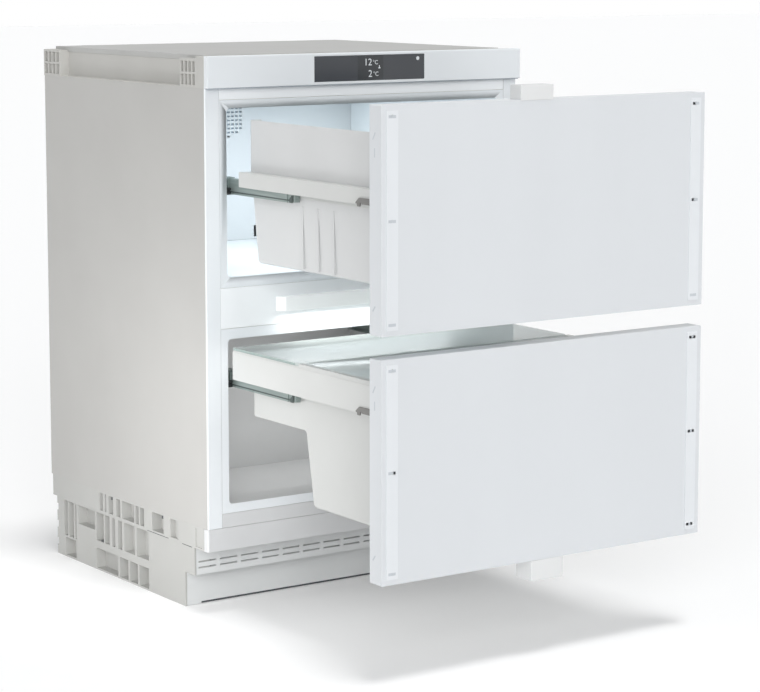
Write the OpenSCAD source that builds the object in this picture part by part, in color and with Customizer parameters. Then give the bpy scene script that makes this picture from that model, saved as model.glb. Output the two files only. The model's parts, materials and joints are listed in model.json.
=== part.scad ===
// Undercounter drawer refrigerator, 60 cm wide, with two full-extension drawers shown open.
// Frame: X to the viewer's right, Y to the back, Z up, millimetres. The origin is on the floor
// under the middle of the cabinet. A depth is measured back from the plane of the front frame.

/* [Cabinet] */
// Width over the steel sides
body_w = 597; // [570:1:620]
// Depth from the front frame to the back
body_d = 528; // [510:1:560]
// Height of the base under the steel shell
base_h = 137; // [125:1:160]
// Height of the head between the steel shell and the top
head_h = 49; // [46:1:56]
// Thickness of the sheet steel
sheet_t = 0.8; // [0.6:0.1:1.2]
// Radius of the bends in the side panels
bend_r = 3; // [2:0.5:4]
// Width of the steel return on each side of the front
stile_w = 26; // [24:0.5:28]
// Width of the steel return at the back
back_return_w = 15; // [10:1:20]

/* [Compartments] */
// Insulated wall on each side of the openings
side_wall = 39; // [36:0.5:46]
// Clear height of each opening
opening_h = 260; // [250:1:270]
// Wall under the lower opening
floor_wall = 36.5; // [34:0.5:44]
// Wall between the two openings
divider_h = 96; // [90:1:104]
// Wall above the upper opening
ceiling_wall = 31.5; // [28:0.5:38]
// Thickness of the moulded inner liners
liner_t = 2; // [1.5:0.5:3]
// Corner radius of the openings
opening_r = 6; // [4:1:10]
// Insulated wall behind the upper compartment
upper_back_wall = 42; // [33:1:50]
// Insulated wall behind the lower compartment
lower_back_wall = 94; // [78:1:100]
// Room for the evaporator, with its cover, at the back of the upper compartment
evaporator_room = 57; // [50:1:62]
// Thickness of the air cover
cover_t = 3; // [2:0.5:4]
// Depth of the lower floor in front of the step
step_d = 250; // [245:1:258]
// Height of the step over the lower floor
step_h = 136; // [120:1:140]
// Depth of the sloping lip at the front of the lower floor
lip_d = 74; // [60:1:90]
// Fall of the lower floor behind its lip
lip_fall = 5; // [3:0.5:7]
// Insulation between the step and the compressor bay
bay_wall = 36; // [30:1:42]

/* [Front frame] */
// Width of the liner's visible flange
flange_w = 13; // [10:0.5:14]
// Height of the cover strip on the divider
divider_cover_h = 63; // [56:1:68]
// Height of the cover strip under the lower opening
low_strip_h = 22; // [18:1:24]
// Thickness of the cover strips
strip_t = 2; // [1.5:0.5:3]
// Width of the visible joints between the frame pieces
seam = 0.4; // [0.2:0.1:0.6]
// Length of the lamp on the divider
lamp_w = 344; // [300:2:400]
// Height of the lamp on the divider
lamp_h = 23; // [18:1:26]
// How far the lamp stands out of the frame
lamp_t = 11; // [8:1:14]

/* [Head] */
// Thickness of the control fascia
fascia_t = 10.4; // [8:0.2:14]
// Width of the display window
display_w = 210; // [180:2:240]
// Height of the display window
display_h = 40; // [34:1:42]
// Thickness of the display glass
display_t = 3; // [2:0.5:4]
// How far the head's sides are set in between its corners
recess_d = 17; // [12:1:20]
// Depth of the head's front bar
front_bar_d = 27; // [22:1:32]
// Depth at which the front corner block ends
front_block_d = 73; // [66:1:82]
// Depth of the rear corner block
rear_block_w = 58; // [48:1:78]
// Gap between the top plate and the back
top_plate_gap = 13; // [8:1:20]
// Height of the top plate's turned-down edge
plate_edge_h = 8; // [6:1:10]
// Number of fins in each corner block
corner_fins = 4; // [3:1:5]
// Thickness of those fins
fin_t = 3.5; // [2.5:0.5:5]
// Thickness of the flange at the head's foot
head_rim_t = 1.2; // [1:0.1:2]

/* [Drawers] */
// Travel of each drawer
travel = 427; // [400:1:430]
// Gap between each door's edge and the cabinet's side plane
door_side_gap = 4; // [3:0.5:6]
// Gap between the fascia and the upper door
door_top_gap = 2.8; // [2:0.2:5]
// Gap between the two doors
door_gap = 32.3; // [30:0.1:36]
// Height of the lower door's edge over the steel shell's edge
door_foot = 8; // [6:0.5:12]
// Thickness of the doors
door_t = 28.4; // [24:0.2:34]
// Radius of the doors' corners
door_r = 2; // [1:0.5:4]
// Thickness of the door gaskets
gasket_t = 11; // [9:0.5:13]
// Width of the door gaskets
gasket_w = 16; // [12:1:18]
// Height of the upper frame's lower edge over the compartment floor
upper_hood = 141.5; // [130:0.5:150]
// Height of the upper drawer frame
upper_frame_h = 23; // [20:1:28]
// Height of the lower drawer frame
lower_frame_h = 43.5; // [40:0.5:46]
// Gap between the closed upper frame and the air cover
upper_back_gap = 31; // [24:1:44]
// Gap between the closed lower frame and the back of its compartment
lower_back_gap = 14; // [10:1:24]
// Gap between each frame and the opening's edge
frame_gap = 3.5; // [3:0.1:4.5]
// Width of the hood that each frame forms over its runner
hood_w = 18.8; // [18.4:0.1:21]
// Wall of the drawer frames
frame_t = 2.5; // [2:0.1:3]
// Wall of the bins
bin_t = 2.5; // [2:0.1:3.5]
// How far the upper bin's rear wall stays under its sides
bin_back_drop = 44; // [35:1:60]
// Height of the upper bin's underside over the compartment floor
upper_bin_foot = 24.5; // [18:0.5:32]
// Gap between the upper bin's edge and the ceiling
upper_bin_gap = 16.5; // [10:0.5:30]
// Gap between the lower bin's rim and the ceiling
lower_rim_gap = 12.5; // [9:0.5:20]
// Height of the lower bin's underside over the compartment floor
lower_bin_foot = 26.5; // [15.5:0.5:43.5]
// Gap between the lower bin and the top of the step
bin_step_gap = 11.5; // [7.5:0.5:22.5]
// Gap between the closed lower bin and the front of the step
bin_back_gap = 6; // [4:0.5:14]
// Width of the raised rim round the lower bin's open part
rim_w = 10; // [8:0.5:14]
// Thickness of the glass plate over the lower bin
glass_t = 4; // [3:0.5:5]
// Length of the glass plate from front to back
glass_l = 189; // [120:1:200]
// Length of the dark arms beside each frame
arm_l = 88.3; // [70:0.1:100]
// Height of those arms
arm_h = 9; // [7:0.5:11]

/* [Runners] */
// Height of the runner rails
rail_h = 27; // [24:0.5:30]
// How far the rails hang below the drawer frames
rail_drop = 15; // [14:0.5:17]
// Thickness of the rail steel
rail_t = 1.2; // [1:0.1:1.3]
// Clearance between the nested rails
rail_gap = 0.4; // [0.3:0.1:0.5]
// Distance of the rails from the compartment's side
rail_in = 8; // [7.5:0.1:9]
// Gap between the rails' rear end and the air cover
rail_back_gap = 16; // [11:1:41]
// Depth of the rails' front end in the cabinet
rail_d = 8; // [5:1:12]
// Share of the drawer's travel that the middle rails make
middle_share = 0.4; // [0.35:0.01:0.5]
// Depth of the middle rails' front end when closed
middle_d = 14; // [10:1:20]
// How far the middle rails' buffers reach in front of them
buffer_l = 20; // [14:1:21]

/* [Base] */
// Height of the front rail under the steel shell
rail_band_h = 36; // [32:1:42]
// Depth of the front rail's turned ends
rail_return_d = 12; // [8:1:16]
// Width of the side carriers
carrier_w = 30; // [26:1:34]
// Wall of the side carriers
carrier_t = 3; // [2.5:0.5:4]
// How far the carriers' upper band ends before the cabinet's back
carrier_back_in = 7; // [2:1:18]
// How far the carriers' lower part ends before the cabinet's back
foot_back_in = 19; // [13:1:28]
// Depth at which the carriers' plain front part ends
plain_d = 184; // [176:1:190]
// Depth of the pockets in the carriers' sides
pocket_in = 18; // [12:1:20]
// Depth of the grille's face
grille_d = 44; // [38:1:52]
// Depth of the plinth panel's face
plinth_d = 73; // [66:1:84]
// Height of the plinth panel's top edge
plinth_top = 56; // [48:1:62]
// Gap between the plinth panel and the floor
plinth_gap = 4; // [3:0.5:8]
// Rows of slots in the grille
grille_rows = 2; // [1:1:3]
// Radius of the levelling feet
foot_r = 14; // [12:0.5:16]
// Radius of the feet's spindles
spindle_r = 5; // [4:0.5:6]
// Height of the feet's towers
tower_h = 80; // [60:1:90]
// Gap between the towers and the base tray's sides
tower_side_gap = 1.2; // [0.6:0.1:14.2]
// Gap between the front towers and the base tray's front
tower_front_gap = 8; // [4:1:12]
// Gap between the rear towers and the base tray's back
tower_rear_gap = 5; // [2:1:19]

/* [Door fixings] */
// Width of each fixing strip on the doors
fix_strip_w = 19.5; // [16:0.5:24]
// Distance of the fixing holes from the doors' side edges
fix_side = 18; // [16:0.5:24.5]
// Distance of the highest fixing holes from the doors' upper edges
fix_top = 15.5; // [14:0.5:20]
// Distance of the lowest fixing holes from the doors' lower edges
fix_foot = 15.95; // [12.95:0.05:45]
// Radius of the fixing holes
fix_r = 2.1; // [1.5:0.1:3]
// Depth of the fixing holes in the door
fix_depth = 12; // [8:1:20]
// Thickness of the fixing strips
fix_t = 1.2; // [1:0.1:2]
// Width of the guide blocks
guide_w = 59; // [50:1:70]
// Height of the upper guide block over the door
top_guide_h = 20.5; // [16:0.5:24]
// Height of the lower guide block under the door
low_guide_h = 31; // [26:0.5:34]

/* [Cooling] */
// Distance of the fan's axis under the upper ceiling
fan_drop = 54.5; // [52:0.5:60]
// Radius of both fans' openings
fan_r = 43; // [36:1:45]
// Depth of the fans' housings
fan_d = 20; // [18:1:26]
// Radius of the compressor's shell
compressor_r = 74; // [66:1:80]
// Height of the compressor's shell
compressor_h = 168; // [150:1:176]
// Distance of the compressor's axis from the base tray's side
compressor_side = 158.2; // [138:0.1:170]
// Gap between the compressor and the front of its bay
compressor_gap = 34; // [26:1:42]
// Width of the drip tray
drip_w = 170; // [150:1:180]
// Length of the drip tray from front to back
drip_l = 150; // [130:1:160]
// Depth of the drip tray
drip_h = 34; // [28:1:40]
// Width of the condenser
condenser_w = 160; // [140:1:176]
// Gap between the condenser and the front tower beside it
condenser_gap = 7; // [4:0.5:19]
// Distance of the condenser from the base tray's front
condenser_in = 40; // [30:1:50]
// Thickness of the condenser
condenser_t = 45; // [35:1:50]
// Rim of the condenser's fan frame round its opening
fan_rim = 5; // [4:0.5:9]
// Number of fins in the evaporator
evaporator_fins = 24; // [16:1:32]
// Number of fins in the condenser
condenser_fins = 20; // [12:1:28]

/* [Hidden] */

$fn = 48;
eps = 0.01;
rest = 0.3; // gap between a piece and the seat that it lies loosely in

// The cabinet's main planes
half_w = body_w / 2;
front_y = -body_d / 2;
back_y = body_d / 2;
shell_z = base_h;
shell_h = floor_wall + divider_h + ceiling_wall + 2 * opening_h;
head_z = shell_z + shell_h;
top_z = head_z + head_h;
open_x = half_w - side_wall;
upper_room_d = body_d - upper_back_wall;
lower_room_d = body_d - lower_back_wall;
cover_d = upper_room_d - evaporator_room;
stile_x = half_w - stile_w;
lower_floor_z = shell_z + floor_wall;
lower_ceiling_z = lower_floor_z + opening_h;
upper_floor_z = lower_ceiling_z + divider_h;
upper_ceiling_z = upper_floor_z + opening_h;
function at(depth) = front_y + depth;

// The step in the lower compartment and the compressor bay behind it
step_draft = 6;
sunk_floor_z = lower_floor_z - lip_fall;
step_z = sunk_floor_z + step_h;
bay_d = step_d + step_draft + bay_wall;
bay_z = step_z - bay_wall;

// The strips of the front frame
divider_z = (lower_ceiling_z + upper_floor_z) / 2;
divider_strip_z = [divider_z - divider_cover_h / 2, divider_z + divider_cover_h / 2];
low_strip_top = shell_z + low_strip_h;
upper_flange_top = upper_ceiling_z + flange_w;

// The doors, in their closed place
seal_gap = 0.3;
door_back = -gasket_t - seal_gap;
door_front = door_back - door_t;
door_half_w = half_w - door_side_gap;
door_h = (shell_h - door_top_gap - door_gap - door_foot) / 2;
upper_door_z = [head_z - door_top_gap - door_h, head_z - door_top_gap];
lower_door_z = [shell_z + door_foot, shell_z + door_foot + door_h];
door_liner_t = 2;

// The drawer frames and bins, in their closed place
upper_frame_d = cover_d - upper_back_gap;
lower_frame_d = lower_room_d - lower_back_gap;
lower_rim_top = lower_ceiling_z - lower_rim_gap;
lower_rim_z = lower_rim_top - glass_t;
upper_hood_z = upper_floor_z + upper_hood;
lower_hood_z = lower_rim_z - bin_t - lower_frame_h;
hood_in = open_x - frame_gap - hood_w;
glass_d = lower_frame_d - glass_l;
deep_d = step_d - bin_back_gap;
fix_x = door_half_w - fix_side;
fix_pitch = (door_h - fix_top - fix_foot) / 2;
bin_front = door_back + frame_t + 2.8;
bin_r = 12;
bin_foot_r = 6; // radius along the bins' lower edges
bin_draft = 5.5;

// The base
band_z = base_h - rail_band_h;
band_step = 1.2; // the band stands out over the carriers' lower part
carrier_d = body_d - carrier_back_in;
foot_d = body_d - foot_back_in;
tray_x = half_w - carrier_w - rest;
tray_d = [plinth_d + carrier_t + 9, foot_d - 1];
tray_t = 4;
tray_lip = 10;
tower_r = foot_r + 5;
tower_x = tray_x - tower_side_gap - tower_r;
tower_front_d = tray_d[0] + tower_front_gap + tower_r;
tower_rear_d = tray_d[1] - tower_rear_gap - tower_r;
foot_clear = 0.5;
pad_h = 8;

// The fans
fan_x = 0;
fan_z = upper_ceiling_z - fan_drop;
fan_ring_d = [cover_d + cover_t, cover_d + cover_t + fan_d];
fan_frame_w = 2 * (fan_r + fan_rim);
condenser_left = tower_r + condenser_gap - tower_x;
condenser_x = [condenser_left, condenser_left + condenser_w];
condenser_d = tray_d[0] + condenser_in;
blower_x = (condenser_x[0] + condenser_x[1]) / 2;
blower_z = tray_t + fan_frame_w / 2;
blower_gap = 5;
blower_d = [condenser_d + condenser_t + blower_gap, condenser_d + condenser_t + blower_gap + fan_d];
shaft_r = 2;
bore_gap = 0.1;
hub_r = 13;
blade_count = 7;
tip_gap = 2;

// The runners, measured in from the compartment's side and up from the frame's lower edge
rail_z = [-rail_drop, rail_h - rail_drop];
rail_lip_in = frame_gap + hood_w - frame_t; // where the frame's inner wall starts
rail_edge_in = rail_lip_in - rest - 0.2;
rail_l = cover_d - rail_d - rail_back_gap;
middle_l = rail_l - 20;
inner_l = rail_l - 15;
middle_travel = travel * middle_share;
inner_lift = 0.8; // height of the inner rails over the frame's lower edge

// The compressor
compressor_x = tray_x - compressor_side;
compressor_d = bay_d + compressor_gap + compressor_r;
grommet_h = 10;
compressor_plate_t = 2.5;
compressor_z = tray_t + grommet_h + compressor_plate_t;

// Round stretches of the outlines
arc_steps = 5;
function unit(v) = v / norm(v);
function corner_arc(a, b, c, r) =
    let (
        u = unit(a - b),
        v = unit(c - b),
        half = acos(u * v) / 2,
        centre = b + unit(u + v) * (r / sin(half)),
        from = b + u * (r / tan(half)) - centre,
        to = b + v * (r / tan(half)) - centre,
        start = atan2(from.y, from.x),
        sweep = (atan2(to.y, to.x) - start + 540) % 360 - 180
    )
    [for (i = [0 : arc_steps])
        let (turn = start + sweep * i / arc_steps) centre + r * [cos(turn), sin(turn)]];

// The polygon of the points, with each corner rounded by its own radius
function rounded(points, radii) =
    let (n = len(points))
    [for (i = [0 : n - 1])
        each (radii[i] == 0
            ? [points[i]]
            : corner_arc(points[(i + n - 1) % n], points[i], points[(i + 1) % n], radii[i]))];

// A rectangle between two limits each way, with round corners
function round_rect(x, y, r) =
    rounded([[x[0], y[0]], [x[1], y[0]], [x[1], y[1]], [x[0], y[1]]], [r, r, r, r]);
function inset(limits, by) = [limits[0] + by, limits[1] - by];
function sym(x) = [-x, x];

module block(x, y, z)
    translate([x[0], y[0], z[0]])
        cube([x[1] - x[0], y[1] - y[0], z[1] - z[0]]);

module along_x(x)
    translate([x[0], 0, 0])
        rotate([90, 0, 90])
            linear_extrude(x[1] - x[0])
                children();

module along_y(y)
    translate([0, y[1], 0])
        rotate([90, 0, 0])
            linear_extrude(y[1] - y[0])
                children();

module along_z(z)
    translate([0, 0, z[0]])
        linear_extrude(z[1] - z[0])
            children();

module both_sides() {
    children();
    mirror([1, 0, 0])
        children();
}

// Depths of a piece from the front frame, as limits along Y
function span(from, to) = [at(from), at(to)];

// ---- Cabinet shell ----

// One bent sheet: the side, the front return and the back return
module side_panel() {
    color("#c3c2bf")
        along_z([shell_z, head_z])
            difference() {
                polygon(round_rect([-half_w, half_w], [front_y, back_y], bend_r));
                polygon(round_rect(sym(half_w - sheet_t), inset([front_y, back_y], sheet_t),
                    bend_r - sheet_t));
                translate([-stile_x, front_y - eps])
                    square([body_w, body_d / 2]);
                translate([back_return_w - half_w, -eps])
                    square([body_w, body_d]);
            }
}

module back_panel() {
    color("#b9b8b4")
        block(sym(half_w - back_return_w - seam), [back_y - sheet_t, back_y],
            [bay_z - sheet_t, head_z]);
}

// Room between the side panels, clear of their bends
module shell_room()
    along_z([shell_z - 1, head_z])
        polygon(round_rect(sym(half_w - sheet_t), inset([front_y, back_y], sheet_t),
            bend_r + strip_t));

// Sheet under the insulation, which rises over the compressor bay
module bottom_sheet() {
    color("#b0b2b3")
        intersection() {
            along_x(sym(half_w - sheet_t))
                polygon([
                    [at(strip_t), shell_z],
                    [at(bay_d + sheet_t), shell_z],
                    [at(bay_d + sheet_t), bay_z - sheet_t],
                    [at(body_d - sheet_t), bay_z - sheet_t],
                    [at(body_d - sheet_t), bay_z],
                    [at(bay_d), bay_z],
                    [at(bay_d), shell_z + sheet_t],
                    [at(strip_t), shell_z + sheet_t]
                ]);
            shell_room();
        }
}

module upper_liner_body(grow)
    along_y(span(0, upper_room_d + grow))
        polygon(round_rect(sym(open_x + grow), inset([upper_floor_z, upper_ceiling_z], -grow),
            opening_r + grow));

// Side outline of the lower compartment: sloping lip, floor, step and back wall
function lower_outline(grow) = [
    [at(0), lower_floor_z - grow],
    [at(lip_d), sunk_floor_z - grow],
    [at(step_d + grow), sunk_floor_z - grow],
    [at(step_d + step_draft + grow), step_z - grow],
    [at(lower_room_d + grow), step_z - grow],
    [at(lower_room_d + grow), lower_ceiling_z + grow],
    [at(0), lower_ceiling_z + grow]
];

module lower_liner_body(grow)
    intersection() {
        along_x(sym(open_x + grow))
            polygon(lower_outline(grow));
        along_y(span(0, lower_room_d + grow))
            polygon(round_rect(sym(open_x + grow), inset([sunk_floor_z, lower_ceiling_z], -grow),
                opening_r + grow));
    }

module insulation_foam() {
    color("#e3d9a8")
        difference() {
            intersection() {
                along_x(sym(half_w - sheet_t))
                    polygon([
                        [at(strip_t), shell_z + sheet_t],
                        [at(bay_d), shell_z + sheet_t],
                        [at(bay_d), bay_z],
                        [at(body_d - sheet_t), bay_z],
                        [at(body_d - sheet_t), head_z],
                        [at(strip_t), head_z]
                    ]);
                shell_room();
            }
            upper_liner_body(liner_t);
            lower_liner_body(liner_t);
        }
}

// The flange of a liner in the front frame, with the opening cut through it
module liner_flange(z, opening_z) {
    difference() {
        block(sym(stile_x - seam), span(0, strip_t), z);
        along_y(span(-eps, strip_t + eps))
            polygon(round_rect(sym(open_x), opening_z, opening_r));
    }
}

module upper_liner() {
    color("#e6edf0") {
        difference() {
            upper_liner_body(liner_t);
            upper_liner_body(0);
            block(sym(half_w), span(-1, strip_t), [shell_z, head_z]);
        }
        liner_flange([divider_strip_z[1] + seam, upper_flange_top],
            [upper_floor_z, upper_ceiling_z]);
    }
}

module lower_liner() {
    color("#dfe2e3") {
        difference() {
            lower_liner_body(liner_t);
            lower_liner_body(0);
            block(sym(half_w), span(-1, strip_t), [shell_z, head_z]);
        }
        liner_flange([low_strip_top + seam, divider_strip_z[0] - seam],
            [lower_floor_z, lower_ceiling_z]);
    }
}

// ---- Front frame ----

module frame_strip(z)
    color("#e1e6ec")
        block(sym(stile_x - seam), span(0, strip_t), z);

module upper_crossrail() {
    frame_strip([upper_flange_top + seam, head_z]);
}

module divider_cover() {
    frame_strip(divider_strip_z);
}

module lower_crossrail() {
    frame_strip([shell_z, low_strip_top]);
}

// White band between the shell and the grille, turned back at both ends
module base_front_rail() {
    color("#e4e8ec")
        difference() {
            along_z([band_z, shell_z - seam])
                polygon(rounded([
                    [-half_w, at(0)], [half_w, at(0)], [half_w, at(rail_return_d)],
                    [-half_w, at(rail_return_d)]
                ], [bend_r, bend_r, 0, 0]));
            block(sym(half_w - strip_t), span(strip_t, body_d), [0, shell_z - strip_t - seam]);
        }
}

// Bar with slanted ends, which lights the gap between the doors
module divider_lamp() {
    slant = 12;
    color("#eef1f2")
        along_z([divider_z - lamp_h / 2, divider_z + lamp_h / 2])
            polygon(rounded([
                [-lamp_w / 2, at(0)], [slant - lamp_w / 2, at(-lamp_t)],
                [lamp_w / 2 - slant, at(-lamp_t)], [lamp_w / 2, at(0)]
            ], [0, 3, 3, 0]));
}

// ---- Head ----

// Plan of the head's wall: full width at the corner blocks, set in between them
head_in = half_w - recess_d;
rear_block_d = body_d - rear_block_w;
head_plan = [
    [-half_w, at(0)], [half_w, at(0)],
    [half_w, at(front_block_d)], [head_in, at(front_block_d)],
    [head_in, at(rear_block_d)], [half_w, at(rear_block_d)],
    [half_w, at(body_d)], [-half_w, at(body_d)],
    [-half_w, at(rear_block_d)], [-head_in, at(rear_block_d)],
    [-head_in, at(front_block_d)], [-half_w, at(front_block_d)]
];
head_wall = 3;
corner_cap_d = 24; // depth of the front corner's plain end
corner_drop = 5; // how far the corner blocks stay under the top
plate_gap = 0.4;
plate_x = head_in + plate_gap + sheet_t;
plate_y = span(front_bar_d + rest, body_d - top_plate_gap);

// Pockets between the fins of a corner block, in two tiers
module fin_pockets(from, to) {
    pitch = (to - from) / corner_fins;
    pocket_w = 10;
    tier_gap = 3.5;
    room = [head_z + 4, top_z - corner_drop - 4];
    middle = (room[0] + room[1]) / 2;
    for (i = [0 : corner_fins - 1])
        for (z = [[room[0], middle - tier_gap / 2], [middle + tier_gap / 2, room[1]]])
            block([-half_w - 1, pocket_w - half_w],
                span(from + i * pitch + fin_t, from + (i + 1) * pitch), z);
}

module top_frame() {
    color("#bdbcb8")
        difference() {
            union() {
                along_z([head_z, top_z - sheet_t])
                    polygon(head_plan);
                block(sym(half_w), span(0, body_d), [head_z, head_z + head_rim_t]);
            }
            // the space over the insulation
            block(sym(head_in - head_wall), span(front_bar_d, rear_block_d),
                [head_z - 1, top_z]);
            block(sym(head_in - head_wall),
                span(rear_block_d - 1, body_d - top_plate_gap - head_wall),
                [head_z + head_wall, top_z]);
            both_sides() {
                block([-half_w - 1, -head_in], span(corner_cap_d, body_d + 1),
                    [top_z - corner_drop, top_z]);
                fin_pockets(corner_cap_d, front_block_d - fin_t);
                fin_pockets(rear_block_d, body_d - fin_t);
            }
            block(sym(half_w + 1), span(body_d - top_plate_gap + rest, body_d + 1),
                [top_z - corner_drop, top_z]);
            // groove for the top plate's turned-down edge
            difference() {
                block(sym(plate_x + rest), [plate_y[0] - rest, plate_y[1] + rest],
                    [top_z - plate_edge_h - rest, top_z]);
                block(sym(head_in), inset(plate_y, sheet_t + plate_gap),
                    [top_z - plate_edge_h - 1, top_z + 1]);
            }
        }
}

module top_plate() {
    color("#cbcac6")
        difference() {
            along_z([top_z - plate_edge_h, top_z])
                polygon(round_rect(sym(plate_x), plate_y, 1.5));
            along_z([top_z - plate_edge_h - 1, top_z - sheet_t])
                polygon(round_rect(sym(plate_x - sheet_t), inset(plate_y, sheet_t), 0.7));
        }
}

module fascia() {
    window_z = head_z + head_h / 2;
    shell = 2.5;
    color("#e3e7ec")
        difference() {
            along_x(sym(half_w))
                polygon(rounded([
                    [at(0), head_z], [at(0), top_z], [at(-fascia_t), top_z], [at(-fascia_t), head_z]
                ], [0, 0, 2, 1.5]));
            block(sym(half_w - shell), span(shell - fascia_t, 1), inset([head_z, top_z], shell));
            block(sym(display_w / 2), span(-fascia_t - 1, 1),
                [window_z - display_h / 2, window_z + display_h / 2]);
        }
}

// Glass window, with the box of the controls behind it
module display_module() {
    window_z = head_z + head_h / 2;
    size_x = sym(display_w / 2 - rest / 2);
    size_z = inset([window_z - display_h / 2, window_z + display_h / 2], rest / 2);
    lip = 3;
    color("#3a3c42") {
        along_y(span(-fascia_t, -fascia_t + display_t))
            polygon(round_rect(size_x, size_z, 1));
        block(inset(size_x, lip), span(-fascia_t + display_t, 0), inset(size_z, lip));
    }
}

// ---- Cooling in the upper compartment ----

// A round piece on an axis that runs front to back
module disc(x, z, depths, r)
    translate([x, at(depths[1]), z])
        rotate([90, 0, 0])
            cylinder(r = r, h = depths[1] - depths[0]);

module ring(x, z, depths, r_out, r_in)
    difference() {
        disc(x, z, depths, r_out);
        disc(x, z, [depths[0] - 1, depths[1] + 1], r_in);
    }

// Hub with slanted blades, and the shaft that runs in its motor
module impeller(x, z, depths) {
    tip_r = fan_r - tip_gap;
    room = inset(depths, 3);
    chord = depths[1] - depths[0];
    difference() {
        intersection() {
            for (i = [0 : blade_count - 1])
                translate([x, at((depths[0] + depths[1]) / 2), z])
                    rotate([0, i * 360 / blade_count, 0])
                        rotate([35, 0, 0])
                            block([hub_r - 1, fan_r], [-0.8, 0.8], sym(chord / 2));
            disc(x, z, room, tip_r);
        }
        disc(x, z, depths, hub_r - 1);
    }
    disc(x, z, room, hub_r);
    disc(x, z, [room[1], depths[1] + 8], shaft_r);
}

// Motor behind an impeller, with three arms to the ring or frame around it
module fan_motor(x, z, back_d) {
    motor_r = 18;
    motor_l = 18;
    arm_t = 3;
    difference() {
        union() {
            disc(x, z, [back_d, back_d + motor_l], motor_r);
            for (i = [0 : 2])
                translate([x, 0, z])
                    rotate([0, 90 + i * 120, 0])
                        block([motor_r - 2, fan_r + 3], span(back_d, back_d + arm_t), sym(3));
        }
        disc(x, z, [back_d - 1, back_d + 10], shaft_r + bore_gap);
    }
}

// Plates on a snaking tube
module finned_block(x, depths, z, fins, rows) {
    fin_w = 0.8;
    pitch = (x[1] - x[0] - fin_w) / (fins - 1);
    middle = (at(depths[0]) + at(depths[1])) / 2;
    tube_r = 4;
    for (i = [0 : fins - 1])
        block([x[0] + i * pitch, x[0] + i * pitch + fin_w], span(depths[0], depths[1]), z);
    for (row = [0 : rows - 1])
        translate([x[0], middle, z[0] + (row + 0.5) * (z[1] - z[0]) / rows])
            rotate([0, 90, 0])
                cylinder(r = tube_r, h = x[1] - x[0]);
}

// Moulded cover over the evaporator, with the fan's grille, its ring and the return slots
module air_cover() {
    slot_w = 5.6;
    slot_h = 3;
    pitch_x = 8;
    pitch_z = 7;
    half_rows = [1, 3, 4, 4, 4, 4, 4, 4]; // slots on each side of the middle, from below
    foot_slots = 4;
    foot_first = 57;
    foot_pitch = 40;
    z = inset([upper_floor_z, upper_ceiling_z], rest);
    color("#dfecf2") {
        difference() {
            along_y(span(cover_d, cover_d + cover_t))
                polygon(round_rect(sym(open_x - rest), z, opening_r));
            for (row = [0 : len(half_rows) - 1], i = [0 : half_rows[row] - 1], side = [-1, 1])
                translate([
                    fan_x + side * (i + 0.5) * pitch_x,
                    at(cover_d + cover_t / 2),
                    fan_z + (row - (len(half_rows) - 1) / 2) * pitch_z
                ])
                    cube([slot_w, cover_t * 2, slot_h], center = true);
            for (i = [0 : foot_slots - 1], side = [-1, 1])
                translate([side * (foot_first + i * foot_pitch), at(cover_d), upper_floor_z + 14])
                    cube([6, cover_t * 3, 20], center = true);
        }
        ring(fan_x, fan_z, fan_ring_d, fan_r + 4, fan_r);
    }
}

module evaporator() {
    color("#c9cccd")
        finned_block(sym(open_x - 40), [cover_d + cover_t + 8, upper_room_d - rest],
            [upper_floor_z + 15, fan_z - fan_r - 12], evaporator_fins, 5);
}

module evaporator_fan_motor() {
    color("#4c4f52")
        fan_motor(fan_x, fan_z, fan_ring_d[1]);
}

module evaporator_impeller() {
    color("#e8e8e6")
        impeller(fan_x, fan_z, fan_ring_d);
}

// ---- Cooling machine in the base ----

module compressor() {
    mount_x = 70;
    mount_y = 42;
    plate_z = tray_t + grommet_h;
    color("#2f3133")
        translate([compressor_x, at(compressor_d), 0]) {
            for (x = sym(mount_x), y = sym(mount_y))
                translate([x, y, tray_t])
                    cylinder(r = 9, h = grommet_h);
            along_z([plate_z, compressor_z])
                polygon(round_rect(sym(mount_x + 12), sym(mount_y + 12), 8));
            translate([0, 0, compressor_z - eps]) {
                rotate_extrude()
                    polygon(rounded([
                        [0, 0], [compressor_r - 4, 0], [compressor_r - 4, compressor_h],
                        [0, compressor_h]
                    ], [0, 14, 36, 0]));
                // welded seam of the two halves
                translate([0, 0, compressor_h * 0.55])
                    cylinder(r = compressor_r, h = 5);
            }
            // start relay on the side
            block([compressor_r - 12, compressor_r + 18], sym(22),
                [compressor_z + 40, compressor_z + 100]);
        }
}

// Tray on the warm compressor, where the defrost water dries
module drip_tray() {
    seat_z = compressor_z + compressor_h;
    outer_x = sym(drip_w / 2);
    outer_y = sym(drip_l / 2);
    wall = 2;
    color("#d7d8d6")
        translate([compressor_x, at(compressor_d), seat_z])
            difference() {
                along_z([0, drip_h])
                    polygon(round_rect(outer_x, outer_y, 10));
                along_z([wall, drip_h + 1])
                    polygon(round_rect(inset(outer_x, wall), inset(outer_y, wall), 8));
            }
}

module condenser() {
    color("#6d7173")
        finned_block(condenser_x, [condenser_d, condenser_d + condenser_t],
            [tray_t, tray_t + fan_frame_w], condenser_fins, 4);
}

module condenser_fan_motor() {
    half = fan_frame_w / 2;
    color("#35383a") {
        difference() {
            along_y(span(blower_d[0], blower_d[1]))
                polygon(round_rect([blower_x - half, blower_x + half],
                    [blower_z - half, blower_z + half], 4));
            disc(blower_x, blower_z, [blower_d[0] - 1, blower_d[1] + 1], fan_r);
        }
        fan_motor(blower_x, blower_z, blower_d[1]);
    }
}

module condenser_impeller() {
    color("#1f2122")
        impeller(blower_x, blower_z, blower_d);
}

// ---- Base ----

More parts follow.
